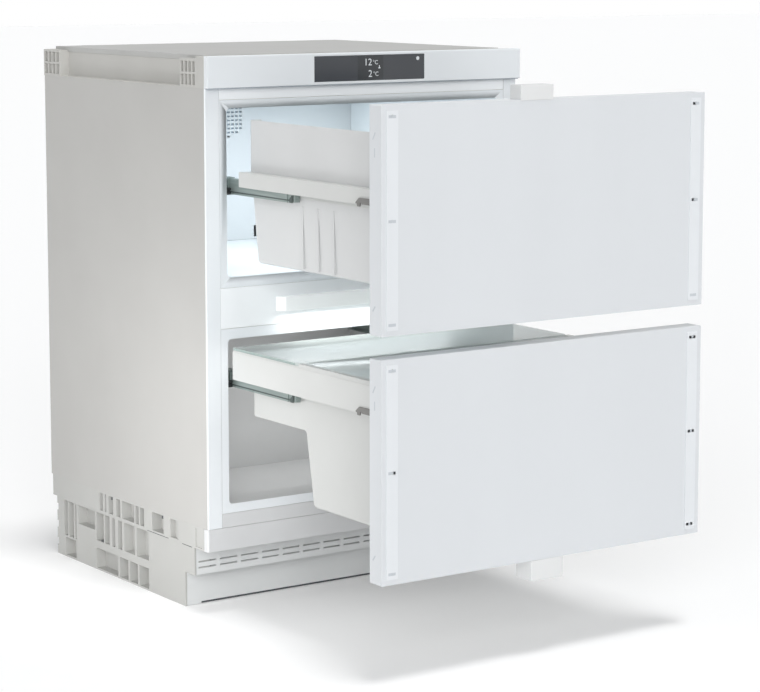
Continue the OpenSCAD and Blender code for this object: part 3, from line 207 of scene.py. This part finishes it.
# Each material slot of the record, with its finish and the solids that take it
SLOTS = {
    "shell_steel": (SIDE_COAT_PAINTED_SHADE, ["side_panel_left", "side_panel_right"]),
    "back_steel": (BACK_COAT, ["back_panel"]),
    "foam": (FOAM, ["insulation_foam"]),
    "upper_lining": (UPPER_LINING, ["upper_liner"]),
    "lower_lining": (LOWER_LINING, ["lower_liner"]),
    "front_frame": (FRONT_COAT, ["upper_crossrail", "divider_cover", "lower_crossrail",
                                 "base_front_rail"]),
    "lamp": (LAMP_DIFFUSER, ["divider_lamp"]),
    "head_plastic": (HEAD_PLASTIC, ["top_frame"]),
    "top_steel": (TOP_COAT, ["top_plate"]),
    "fascia": (FASCIA_COAT, ["fascia"]),
    "display_glass": (DISPLAY_GLASS, ["display_module"]),
    "cover_plastic": (COVER_PLASTIC, ["air_cover"]),
    "fin_aluminium": (FIN_METAL, ["evaporator"]),
    "motor_plastic": (DARK_PLASTIC, ["evaporator_fan_motor", "condenser_fan_motor"]),
    "fan_plastic": (FAN_PLASTIC, ["evaporator_impeller"]),
    "dark_fan": (BLACK_PLASTIC, ["condenser_impeller"]),
    "compressor_paint": (COMPRESSOR_COAT, ["compressor"]),
    "tray_plastic": (TRAY_PLASTIC, ["drip_tray"]),
    "condenser_steel": (CONDENSER_COAT, ["condenser"]),
    "base_steel": (BASE_STEEL, ["base_tray", "bottom_sheet"]),
    "carrier_plastic": (CARRIER_PLASTIC, ["base_carrier_left", "base_carrier_right"]),
    "plinth_plastic": (PLINTH_PLASTIC, ["plinth_grille", "plinth_panel"]),
    "foot_plastic": (DARK_PLASTIC, ["foot_front_left", "foot_front_right", "foot_rear_left",
                                    "foot_rear_right"]),
    "shelf_glass": (SHELF_GLASS, ["glass_plate"]),
    "rail_steel": (RAIL_STEEL, []),
    "door_steel": (DOOR_COAT, []),
    "door_lining": (UPPER_LINING, []),
    "gasket": (GASKET_RUBBER, []),
    "strip": (STRIP_COAT, []),
    "guide_plastic": (GUIDE_PLASTIC, []),
    "drawer_plastic": (DRAWER_PLASTIC, []),
    "arm_plastic": (ARM_PLASTIC, []),
    "bin_plastic": (BIN_PLASTIC, []),
}
for which in DRAWERS:
    SLOTS["rail_steel"][1].extend(f"{which}_{part}_rails" for part in
                                  ("outer", "middle", "inner"))
    SLOTS["foam"][1].append(f"{which}_door_foam")
    for slot, part in (("door_steel", "door_panel"), ("door_lining", "door_liner"),
                       ("gasket", "door_gasket"), ("strip", "door_strips"),
                       ("guide_plastic", "guide_block"), ("drawer_plastic", "frame"),
                       ("arm_plastic", "arms"), ("bin_plastic", "bin")):
        SLOTS[slot][1].append(f"{which}_{part}")
SLOT_OF = {node: slot for slot, (_, nodes) in SLOTS.items() for node in nodes}
# Solids with a finish of their own in their slot: lightened and darkened copies of their slot's
# finish, as painted light and painted shade
OWN_FINISH = {"upper_crossrail": FRONT_COAT_PAINTED_LIGHT, "divider_cover": FRONT_COAT_PAINTED_LIGHT,
              "lower_crossrail": FRONT_COAT_PAINTED_SHADE, "base_front_rail": FRONT_COAT_PAINTED_SHADE,
              "lower_bin": BIN_PLASTIC_PAINTED_SHADE}
for node, solid in frame["nodes"].items():
    solid.data.materials.clear()
    solid.data.materials.append(OWN_FINISH.get(node, SLOTS[SLOT_OF[node]][0]))


# ---- Handling of pieces ----

SMOOTH_ANGLE = math.radians(35)  # faces that meet flatter than this are shaded as one
SHARP_ANGLE = math.radians(30)  # edges sharper than this are rounded
FLAT_ANGLE = math.radians(0.5)  # faces that meet flatter than this are joined
WELD = 0.01 * MM  # points nearer than this are one point


def pick(piece):
    """Selects one piece alone and makes it the active one."""
    bpy.ops.object.select_all(action="DESELECT")
    piece.select_set(True)
    bpy.context.view_layer.objects.active = piece


def give(piece, name, body, material):
    """Names a finished piece, puts its place in its mesh and lets it move with its body."""
    piece.name = name
    pick(piece)
    bpy.ops.object.transform_apply(location=True, rotation=True, scale=True)
    bpy.ops.object.shade_smooth_by_angle(angle=SMOOTH_ANGLE)
    piece.data.materials.clear()
    piece.data.materials.append(material)
    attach(piece, body)


def select_faces(piece, wanted):
    """Selects the faces for which wanted(centre, normal) holds, with the piece in edit mode."""
    shape = bmesh.from_edit_mesh(piece.data)
    for face in shape.faces:
        face.select_set(bool(wanted(face.calc_center_median(), face.normal)))
    shape.select_flush_mode()
    bmesh.update_edit_mesh(piece.data)


def bar(low, high, radius, segments=2):
    """A bar between two corners, with rounded edges."""
    low, high = Vector(low), Vector(high)
    bpy.ops.object.select_all(action="DESELECT")
    bpy.ops.mesh.primitive_cube_add(size=1, location=(low + high) / 2)
    piece = bpy.context.object
    piece.scale = high - low
    bpy.ops.object.transform_apply(location=True, rotation=True, scale=True)
    bpy.ops.object.mode_set(mode="EDIT")
    bpy.ops.mesh.select_all(action="SELECT")
    bpy.ops.mesh.bevel(offset=radius, segments=segments, affect="EDGES")
    bpy.ops.object.mode_set(mode="OBJECT")
    return piece


def wheel(place, radius, width, axle, vertices):
    """A round disc at a place, turned so that its axle points the given way."""
    bpy.ops.object.select_all(action="DESELECT")
    bpy.ops.mesh.primitive_cylinder_add(vertices=vertices, radius=radius, depth=width,
                                        location=place, rotation=axle)
    bpy.ops.object.transform_apply(location=True, rotation=True, scale=True)
    return bpy.context.object


ALONG_X = (0, math.pi / 2, 0)
ALONG_Y = (math.pi / 2, 0, 0)


def joined(pieces):
    """One piece made of several."""
    bpy.ops.object.select_all(action="DESELECT")
    for piece in pieces:
        piece.select_set(True)
    bpy.context.view_layer.objects.active = pieces[0]
    bpy.ops.object.join()
    return bpy.context.object


def twin(piece, move=(0, 0, 0), mirrored=False):
    """A copy with its own mesh, moved, or mirrored to the other side of the cabinet."""
    other = bpy.data.objects.new(piece.name + "_twin", piece.data.copy())
    bpy.context.scene.collection.objects.link(other)
    other.data.transform(Matrix.Translation(Vector(move)))
    if mirrored:
        other.data.transform(Matrix.Scale(-1, 4, (1, 0, 0)))
        other.data.flip_normals()
    return other


def on_both_sides(pieces):
    """The pieces and their mirrored twins, joined into one."""
    return joined(pieces + [twin(piece, mirrored=True) for piece in pieces])


def rounded_copy(node, radius, front_in=0.0):
    """A copy of a solid with its flat faces joined and its sharp edges rounded.

    A radius of 0 leaves the edges sharp. Its foremost faces are drawn in by front_in.
    """
    solid = frame["nodes"][node]
    piece = bpy.data.objects.new(f"{node}_finished", solid.data.copy())
    bpy.context.scene.collection.objects.link(piece)
    pick(piece)
    bpy.ops.object.mode_set(mode="EDIT")
    bpy.ops.mesh.select_all(action="SELECT")
    bpy.ops.mesh.remove_doubles(threshold=WELD)
    bpy.ops.mesh.dissolve_limited(angle_limit=FLAT_ANGLE)
    if front_in:
        front_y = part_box(node)[0].y
        select_faces(piece, lambda centre, normal: abs(centre.y - front_y) < WELD)
        bpy.ops.transform.translate(value=(0, front_in, 0))
    bpy.ops.object.mode_set(mode="OBJECT")
    if radius:
        edge = piece.modifiers.new("rounded_edges", "BEVEL")
        edge.width = radius
        edge.segments = 2
        edge.limit_method = "ANGLE"
        edge.angle_limit = SHARP_ANGLE
        edge.use_clamp_overlap = True
        bpy.ops.object.modifier_apply(modifier=edge.name)
    bpy.ops.object.shade_smooth_by_angle(angle=SMOOTH_ANGLE)
    even = piece.modifiers.new("even_faces", "WEIGHTED_NORMAL")
    even.keep_sharp = True
    even.weight = 100
    bpy.ops.object.modifier_apply(modifier=even.name)
    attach(piece, BODY_OF[node])
    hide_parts(node)


# ---- Rounded pieces ----

# Radius of each piece's edges, in millimetres
EDGE_RADIUS = {
    "side_panel_left": 0.15, "side_panel_right": 0.15, "upper_crossrail": 0.3,
    "divider_cover": 0.5, "lower_crossrail": 0.3, "base_front_rail": 0.5, "divider_lamp": 1.0,
    "top_frame": 0.4, "top_plate": 0.25, "fascia": 0.5, "air_cover": 0.3,
    "base_carrier_left": 0.5, "base_carrier_right": 0.5, "plinth_grille": 0.3,
    "plinth_panel": 0.6, "upper_liner": 0.0, "lower_liner": 0.0,
}
for which in DRAWERS:
    EDGE_RADIUS.update({
        f"{which}_guide_block": 1.2, f"{which}_frame": 0.7, f"{which}_arms": 0.4,
        f"{which}_bin": 0.8, f"{which}_door_panel": 0.3,
    })
for node, radius in EDGE_RADIUS.items():
    rounded_copy(node, radius * MM)

# The front flanges of the side panels and of the linings are coated as the front frame is; the
# rest of each side panel keeps the side coat, which is the same paint darkened as painted shade
for node in ("side_panel_left", "side_panel_right", "upper_liner", "lower_liner"):
    panel = bpy.data.objects[f"{node}_finished"]
    panel.data.materials.append(FRONT_COAT)
    for face in panel.data.polygons:
        face.material_index = int(face.normal.y < -0.5 and face.center.y < cabinet_front + MM)

# The strips' faces are drawn in, so that the clips on them end flush with the solids
CLIP_T = 0.2 * MM
for which in DRAWERS:
    rounded_copy(f"{which}_door_strips", 0.0, front_in=CLIP_T)


# ---- Door fittings ----

CLIP_X = (-4 * MM, 8.5 * MM)  # a clip's ends, from its own middle
CLIP_Z = (-2.2 * MM, 2.0 * MM)  # its foot and top
CLIP_SUNK = 0.1 * MM  # how deep it sits in the strip
BEND_X = -1.5 * MM  # where its left end turns up
BEND_RISE = 1.6 * MM
CLIP_SHIFT = -2.5 * MM  # its middle, from the fixing point
FIXING_IN = 18 * MM  # fixing points, from the door's sides
FIXING_END = 16 * MM  # and from its top and foot
SLOT_HALF_W = 1.2 * MM
SLOT_T = 0.15 * MM


def bent_clip(y):
    """Small clip in the middle of the cabinet: a bar whose left end is turned up."""
    piece = bar((CLIP_X[0], y, CLIP_Z[0]), (CLIP_X[1], y + CLIP_T + CLIP_SUNK, CLIP_Z[1]),
                0.08 * MM, 1)
    pick(piece)
    bpy.ops.object.mode_set(mode="EDIT")
    bpy.ops.mesh.select_all(action="SELECT")
    bpy.ops.mesh.bisect(plane_co=(BEND_X, y, 0), plane_no=(1, 0, 0))
    select_faces(piece, lambda centre, normal: normal.z > 0.9 and centre.x < BEND_X)
    bpy.ops.mesh.extrude_region_move(TRANSFORM_OT_translate={"value": (0, 0, BEND_RISE)})
    bpy.ops.object.mode_set(mode="OBJECT")
    return piece


def side_slot(x, y, z, height, lean):
    """Narrow closed slot in a door's left side, turned about X by the angle lean."""
    piece = bar((x - SLOT_T, y - SLOT_HALF_W, z - height / 2),
                (x, y + SLOT_HALF_W, z + height / 2), 0.1 * MM, 1)
    pick(piece)
    bpy.ops.object.mode_set(mode="EDIT")
    bpy.ops.mesh.select_all(action="SELECT")
    bpy.ops.transform.rotate(value=math.radians(lean), orient_axis="X",
                             center_override=(x, y, z))
    bpy.ops.object.mode_set(mode="OBJECT")
    return piece


for which in DRAWERS:
    body = BODY_OF[f"{which}_door_panel"]
    door_low, door_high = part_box(f"{which}_door_panel")
    fixing_x = abs(door_low.x + FIXING_IN)
    heights = [door_high.z - FIXING_END, (door_low.z + door_high.z) / 2, door_low.z + FIXING_END]
    clip = bent_clip(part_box(f"{which}_door_strips")[0].y)
    clips = [twin(clip, (side * fixing_x + CLIP_SHIFT, 0, z)) for side in (-1, 1)
             for z in heights]
    bpy.data.objects.remove(clip)
    give(joined(clips), f"{which}_fixing_clips", body, CLIP_PLASTIC)

    # each slot's distance behind the door's face, height, length and lean
    slots = [side_slot(door_low.x, door_low.y + behind * MM, z, length * MM, lean)
             for behind, z, length, lean in ((17.5, door_high.z - 43 * MM, 12, -32),
                                             (16, door_high.z - 66 * MM, 13, 0),
                                             (17.5, door_low.z + 38 * MM, 10, -40))]
    give(on_both_sides(slots), f"{which}_door_slots", body, CLIP_PLASTIC)


# ---- Display ----

PANE_X = (-24 * MM, 25 * MM)  # the darker pane behind the figures
PANE_END = 0.6 * MM  # from its ends to the module's top and foot
MARK_OUT = 0.15 * MM  # how far the figures stand out of the glass
FIGURE_SIZE, UNIT_SIZE = 15.5, 9.5  # sizes of type, in millimetres
screen_y = display_low.y

give(bar((PANE_X[0], screen_y - 0.1 * MM, display_low.z + PANE_END),
         (PANE_X[1], screen_y + 0.3 * MM, display_high.z - PANE_END), 0.05 * MM, 1),
     "display_pane", "cabinet", DISPLAY_PANE)


def figures(text, size, x, z):
    """Numbers on the display, as thin plates with their lower left corner at the place."""
    bpy.ops.object.select_all(action="DESELECT")
    bpy.ops.object.text_add(location=(0, 0, 0))
    made = bpy.context.object
    made.data.body = text
    made.data.size = size
    made.data.resolution_u = 4
    made.data.extrude = 0.05 * MM
    bpy.ops.object.convert(target="MESH")
    made = bpy.context.object
    made.rotation_euler = ALONG_Y
    made.location = (x, screen_y - MARK_OUT, z)
    bpy.ops.object.transform_apply(location=True, rotation=True, scale=True)
    return made


# text, size, left edge and foot of each, in millimetres
pane_marks = [figures(text, size * MM, x * MM, z * MM) for text, size, x, z in (
    ("12", FIGURE_SIZE, -12, 849.2), ("°C", UNIT_SIZE, 4.5, 850.6),
    ("2", FIGURE_SIZE, -3.8, 831.0), ("°C", UNIT_SIZE, 5.5, 832.4))]

# the small ring near the display's right end
ring_mark = wheel((92 * MM, screen_y - 0.05 * MM, 858.5 * MM), 3 * MM, 0.2 * MM, ALONG_Y, 24)
bpy.ops.object.mode_set(mode="EDIT")
select_faces(ring_mark, lambda centre, normal: normal.y < -0.9)
bpy.ops.mesh.inset(thickness=1 * MM)
bpy.ops.mesh.delete(type="FACE")
bpy.ops.object.mode_set(mode="OBJECT")
pane_marks.append(ring_mark)

# the mark between the two lines: a short bar with a post on it
for (left, right), (foot, top) in (((15.5, 19.5), (844, 845.4)), ((16.8, 18.2), (845.4, 849))):
    pane_marks.append(bar((left * MM, screen_y - MARK_OUT, foot * MM),
                          (right * MM, screen_y, top * MM), 0.05 * MM, 1))
give(joined(pane_marks), "display_figures", "cabinet", DISPLAY_LIGHT)

# Dark strip under the fascia, in the gap over the upper door: painted shadow
HEAD_SHADOW_END = 3 * MM  # from the fascia's ends
HEAD_SHADOW_BACK = 1 * MM  # behind its face
HEAD_SHADOW_H = 1.0 * MM
give(bar((fascia_low.x + HEAD_SHADOW_END, fascia_low.y + HEAD_SHADOW_BACK, fascia_low.z - HEAD_SHADOW_H),
         (fascia_high.x - HEAD_SHADOW_END, cabinet_front, fascia_low.z), 0.25 * MM),
     "head_gap_shadow_strip", "cabinet", HEAD_GAP_PAINTED_SHADOW)


# ---- Runner fittings ----

HOOD_OVER_RAIL = 15 * MM  # the drawer frame's hood, over the outer rail's foot
RAIL_FRONT = 6 * MM  # where the middle rail's straight web begins
TRACK_DROP = (10.8 * MM, 8.6 * MM)  # the ball track's foot and top, under the hood
CAP_DROP = (13.2 * MM, 7.6 * MM)  # the cap's foot and top, under the hood
CAP_NOSE = 5.4 * MM  # height of its narrow upper part
WALL_X = -259.3 * MM  # the left wall, which the catch stands on
ROLLER_DROPS = (5.6 * MM, 11.4 * MM)  # the rollers' axles, under the hood

for which in DRAWERS:
    rail_low, rail_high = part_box(f"{which}_middle_rails")
    hood_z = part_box(f"{which}_outer_rails")[0].z + HOOD_OVER_RAIL
    front = rail_low.y + RAIL_FRONT
    web = rail_low.x
    # the ball track pressed into the rail's web, drawn as a dark strip that is painted shade of
    # its groove, and the dark cap on its front end
    track = bar((web - 0.15 * MM, front + 2 * MM, hood_z - TRACK_DROP[0]),
                (web + 0.2 * MM, rail_high.y - 4 * MM, hood_z - TRACK_DROP[1]), 0.1 * MM, 1)
    cap = bar((web - 0.2 * MM, front - 1 * MM, hood_z - CAP_DROP[0]),
              (web + 0.4 * MM, front + 8 * MM, hood_z - CAP_DROP[1]), 0.15 * MM, 1)
    pick(cap)
    bpy.ops.object.mode_set(mode="EDIT")
    select_faces(cap, lambda centre, normal: normal.z > 0.9)
    bpy.ops.mesh.extrude_region_move(TRANSFORM_OT_translate={"value": (0, 0, CAP_NOSE)})
    bpy.ops.transform.resize(value=(1, 0.35, 1), center_override=(web, front - 1 * MM, hood_z))
    bpy.ops.object.mode_set(mode="OBJECT")
    give(on_both_sides([track, cap]), f"{which}_rail_tracks",
         BODY_OF[f"{which}_middle_rails"], RAIL_GROOVE_PAINTED_SHADE_AND_CAP)

    # the catch at the front end of the outer rail: two rollers on a web
    catch = []
    for drop in ROLLER_DROPS:
        roller = wheel((WALL_X + 4.6 * MM, cabinet_front + 4.4 * MM, hood_z - drop),
                       2.3 * MM, 8 * MM, ALONG_X, 20)
        bpy.ops.object.mode_set(mode="EDIT")
        select_faces(roller, lambda centre, normal: abs(normal.x) > 0.9)
        bpy.ops.mesh.inset(thickness=0.6 * MM, depth=0.4 * MM)
        bpy.ops.object.mode_set(mode="OBJECT")
        catch.append(roller)
    catch.append(bar((WALL_X, cabinet_front + 3.4 * MM, hood_z - 12 * MM),
                     (WALL_X + 6 * MM, cabinet_front + 5.4 * MM, hood_z - 5 * MM), 0.3 * MM))
    give(on_both_sides(catch), f"{which}_rail_catches", "cabinet", BLACK_PLASTIC)


# ---- Bins and glass ----

RIB_FOOT, RIB_TOP = 559 * MM, 652 * MM
RIB_PLACES = (-440 * MM, -482 * MM, -523.5 * MM)
RIB_HALF_W = 1.6 * MM
WALL_FOOT_Z, LEDGE_Z = 554 * MM, 694 * MM  # the bin wall's foot, and the ledge that it ends at
WALL_FOOT_X, WALL_LEAN = 231.3 * MM, 5.5 * MM  # half the bin's width at the foot, and its growth


def wall_x_at(z):
    """Outer face of the upper bin's left side, which leans in towards its foot."""
    return -(WALL_FOOT_X + WALL_LEAN * (z - WALL_FOOT_Z) / (LEDGE_Z - WALL_FOOT_Z))


ribs = []
for rib_y in RIB_PLACES:
    rib = bar((wall_x_at(RIB_TOP) - 0.7 * MM, rib_y - RIB_HALF_W, RIB_FOOT),
              (wall_x_at(RIB_TOP) + 0.5 * MM, rib_y + RIB_HALF_W, RIB_TOP), 0.5 * MM, 3)
    pick(rib)
    bpy.ops.object.mode_set(mode="EDIT")
    select_faces(rib, lambda centre, normal: centre.z < RIB_FOOT + 1 * MM)
    bpy.ops.transform.translate(value=(wall_x_at(RIB_FOOT) - wall_x_at(RIB_TOP), 0, 0))
    bpy.ops.object.mode_set(mode="OBJECT")
    ribs.append(rib)
give(on_both_sides(ribs), "upper_bin_ribs", BODY_OF["upper_bin"], BIN_PLASTIC)

# the glass plate's side edges, which look darker than its faces
edge_band = bar((glass_low.x - 0.4 * MM, glass_low.y + 11 * MM, glass_low.z + 0.2 * MM),
                (glass_low.x + 0.1 * MM, glass_high.y - 3 * MM, glass_high.z - 0.2 * MM),
                0.15 * MM, 1)
give(on_both_sides([edge_band]), "glass_edge_bands", BODY_OF["glass_plate"],
     GLASS_EDGE)

# the front plate, which lies between the bin's raised rims
FRONT_PLATE_IN = 9.5 * MM  # from the rear plate's sides
FRONT_PLATE_REACH = 233.5 * MM  # its front edge, before the rear plate's front edge
PLATE_GAP = 0.6 * MM
give(bar((glass_low.x + FRONT_PLATE_IN, glass_low.y - FRONT_PLATE_REACH, glass_low.z),
         (glass_high.x - FRONT_PLATE_IN, glass_low.y - PLATE_GAP, glass_high.z - 0.2 * MM),
         0.5 * MM),
     "front_glass_plate", BODY_OF["glass_plate"], FRONT_GLASS)


# ---- A screen behind the slots of the air cover, and a sheet of painted shade behind the grille's slots ----

SCREEN_T = 1 * MM
give(bar((cover_low.x + 6 * MM, cover_low.y + 3.2 * MM, cover_high.z - 75 * MM),
         (cover_high.x - 6 * MM, cover_low.y + 3.2 * MM + SCREEN_T, cover_high.z - 4 * MM),
         0.2 * MM, 1),
     "air_screen", "cabinet", SCREEN_PLASTIC)
give(bar((grille_low.x + 8 * MM, grille_high.y + 0.2 * MM, grille_low.z + 6 * MM),
         (grille_high.x - 8 * MM, grille_high.y + 0.2 * MM + SCREEN_T, grille_high.z - 4 * MM),
         0.2 * MM, 1),
     "louvre_painted_shade_sheet", "cabinet", LOUVRE_PAINTED_SHADE)


# ---- Base fittings ----

# the dark strip behind the plinth panel's foot: painted shadow in the gap under the panel
STRIP_END = 26 * MM
STRIP_Z = (0.4 * MM, 5.2 * MM)
give(bar((plinth_low.x + STRIP_END, plinth_high.y + 0.2 * MM, STRIP_Z[0]),
         (plinth_high.x - STRIP_END, plinth_high.y + 7 * MM, STRIP_Z[1]), 0.4 * MM),
     "plinth_gap_shadow_strip", "cabinet", PLINTH_GAP_PAINTED_SHADOW)


def carrier_mark(depths, ys, zs, radius=0.4, segments=2):
    """A small bar on the left carrier, with its depths behind the carrier's outer face, in mm."""
    return bar((carrier_side + depths[0] * MM, ys[0] * MM, zs[0] * MM),
               (carrier_side + depths[1] * MM, ys[1] * MM, zs[1] * MM), radius * MM, segments)


marks = [
    # clips in the upper corners of two pockets
    carrier_mark((0.2, 5), (-125, -119), (128.6, 133.8)),
    carrier_mark((0.2, 5), (43.2, 49), (128.6, 133.8)),
    # joints under the band
    carrier_mark((0.1, 1.2), (-139, -72), (99.9, 100.9), 0.1, 1),
    carrier_mark((0.1, 1.2), (-213, -184), (99.9, 100.9), 0.1, 1),
    # hook at the foot of a pocket
    carrier_mark((1.4, 6), (78.4, 88), (50.2, 53.2)),
]
give(on_both_sides(marks), "carrier_clips", "cabinet", DARK_PLASTIC)


# ---- Studio ----

AMBIENT = 0.42  # strength of the light from all around
AMBIENT_COLOUR = (0.97, 0.985, 1.0, 1)
FLOOR_COLOUR = (0.88, 0.88, 0.88, 1)
FLOOR_LIFT = 0.14  # what the floor shows the eye beyond the light that it gets
WHITE = (1, 1, 1, 1)


def seen_by_eye(nodes, links):
    """1 for rays that show the backdrop: straight, mirrored or through glass."""
    paths = nodes.new("ShaderNodeLightPath")
    seen = nodes.new("ShaderNodeMath")
    seen.operation = "ADD"
    links.new(paths.outputs["Is Camera Ray"], seen.inputs[0])
    links.new(paths.outputs["Is Glossy Ray"], seen.inputs[1])
    seen_all = nodes.new("ShaderNodeMath")
    seen_all.operation = "ADD"
    seen_all.use_clamp = True
    links.new(seen.outputs[0], seen_all.inputs[0])
    links.new(paths.outputs["Is Transmission Ray"], seen_all.inputs[1])
    return seen_all.outputs[0]


def studio_floor():
    """Wide matt floor, which looks paler to the eye than the light on it makes it."""
    bpy.ops.mesh.primitive_plane_add(size=60, location=(0, 0, 0))
    floor = bpy.context.object
    floor.name = "studio_floor"
    made = bpy.data.materials.new("studio_floor")
    made.use_nodes = True
    nodes, links = made.node_tree.nodes, made.node_tree.links
    nodes.clear()
    lift = nodes.new("ShaderNodeMath")
    lift.operation = "MULTIPLY"
    lift.inputs[1].default_value = FLOOR_LIFT
    links.new(seen_by_eye(nodes, links), lift.inputs[0])
    matt = nodes.new("ShaderNodeBsdfDiffuse")
    matt.inputs["Color"].default_value = FLOOR_COLOUR
    bright = nodes.new("ShaderNodeEmission")
    links.new(lift.outputs[0], bright.inputs["Strength"])
    both = nodes.new("ShaderNodeAddShader")
    links.new(matt.outputs[0], both.inputs[0])
    links.new(bright.outputs[0], both.inputs[1])
    out = nodes.new("ShaderNodeOutputMaterial")
    links.new(both.outputs[0], out.inputs["Surface"])
    floor.data.materials.append(made)


def studio_world():
    """Soft light from all around, with a white backdrop for the eye."""
    world = bpy.data.worlds.new("studio")
    bpy.context.scene.world = world
    world.use_nodes = True
    nodes, links = world.node_tree.nodes, world.node_tree.links
    nodes.clear()
    soft = nodes.new("ShaderNodeBackground")
    soft.inputs["Color"].default_value = AMBIENT_COLOUR
    soft.inputs["Strength"].default_value = AMBIENT
    white = nodes.new("ShaderNodeBackground")
    white.inputs["Color"].default_value = WHITE
    white.inputs["Strength"].default_value = 1.0
    mix = nodes.new("ShaderNodeMixShader")
    links.new(seen_by_eye(nodes, links), mix.inputs[0])
    links.new(soft.outputs[0], mix.inputs[1])
    links.new(white.outputs[0], mix.inputs[2])
    out = nodes.new("ShaderNodeOutputWorld")
    links.new(mix.outputs[0], out.inputs["Surface"])


def sun(name, azimuth, elevation, energy, softness):
    """Light from a compass direction: azimuth 0 comes from the front, 90 from the right."""
    data = bpy.data.lights.new(name, "SUN")
    data.energy = energy
    data.angle = math.radians(softness)
    lamp = bpy.data.objects.new(name, data)
    bpy.context.scene.collection.objects.link(lamp)
    a, e = math.radians(azimuth), math.radians(elevation)
    towards = Vector((math.sin(a) * math.cos(e), -math.cos(a) * math.cos(e), math.sin(e)))
    lamp.rotation_euler = towards.to_track_quat("Z", "Y").to_euler()


def soft_box(name, place, aim, size, energy, colour=(1, 1, 1)):
    """Soft lamp of a given size that shines from its place towards a point."""
    data = bpy.data.lights.new(name, "AREA")
    data.shape = "RECTANGLE"
    data.size, data.size_y = size
    data.energy = energy
    data.color = colour
    lamp = bpy.data.objects.new(name, data)
    bpy.context.scene.collection.objects.link(lamp)
    lamp.location = place
    lamp.rotation_euler = (Vector(place) - Vector(aim)).to_track_quat("Z", "Y").to_euler()
    lamp.visible_camera = False
    lamp.visible_glossy = False


studio_floor()
studio_world()
sun("overhead", azimuth=10, elevation=80, energy=1.2, softness=16)
sun("front_soft", azimuth=-36, elevation=16, energy=1.85, softness=45)
soft_box("side_card", place=(-0.70, -0.28, 0.27), aim=(-0.30, -0.18, 0.34), size=(0.3, 0.3),
         energy=1.25)

# lights under the two ceilings, and under the lamp bar between the doors
CEILING_DROP = 30 * MM
soft_box("ceiling_light", place=(0, -0.08, upper_liner_top - CEILING_DROP), aim=(0, -0.08, 0),
         size=(0.44, 0.28), energy=1.0, colour=(0.93, 0.97, 1.0))
soft_box("lower_light", place=(0, -0.05, lower_liner_top - CEILING_DROP), aim=(0, -0.05, 0),
         size=(0.40, 0.2), energy=0.35)
soft_box("gap_light", place=(0, lamp_low.y - 8 * MM, lamp_low.z - 4 * MM), aim=(0, -0.30, 0.2),
         size=(0.33, 0.012), energy=0.15)


# ---- Camera ----

CAMERA_PLACE = (-2.2270, -3.5254, 1.0185)
CAMERA_DIP = 0.131  # downwards from level, in radians
CAMERA_TURN = -0.6045  # to the right of straight ahead, in radians

camera_data = bpy.data.cameras.new("camera")
camera = bpy.data.objects.new("camera", camera_data)
bpy.context.scene.collection.objects.link(camera)
camera.location = CAMERA_PLACE
camera.rotation_euler = (math.pi / 2 - CAMERA_DIP, 0, CAMERA_TURN)
camera_data.sensor_width = 36
camera_data.sensor_fit = "HORIZONTAL"
camera_data.lens = 117.97
camera_data.shift_y = -0.08
bpy.context.scene.camera = camera
bpy.context.scene.view_settings.view_transform = "Standard"
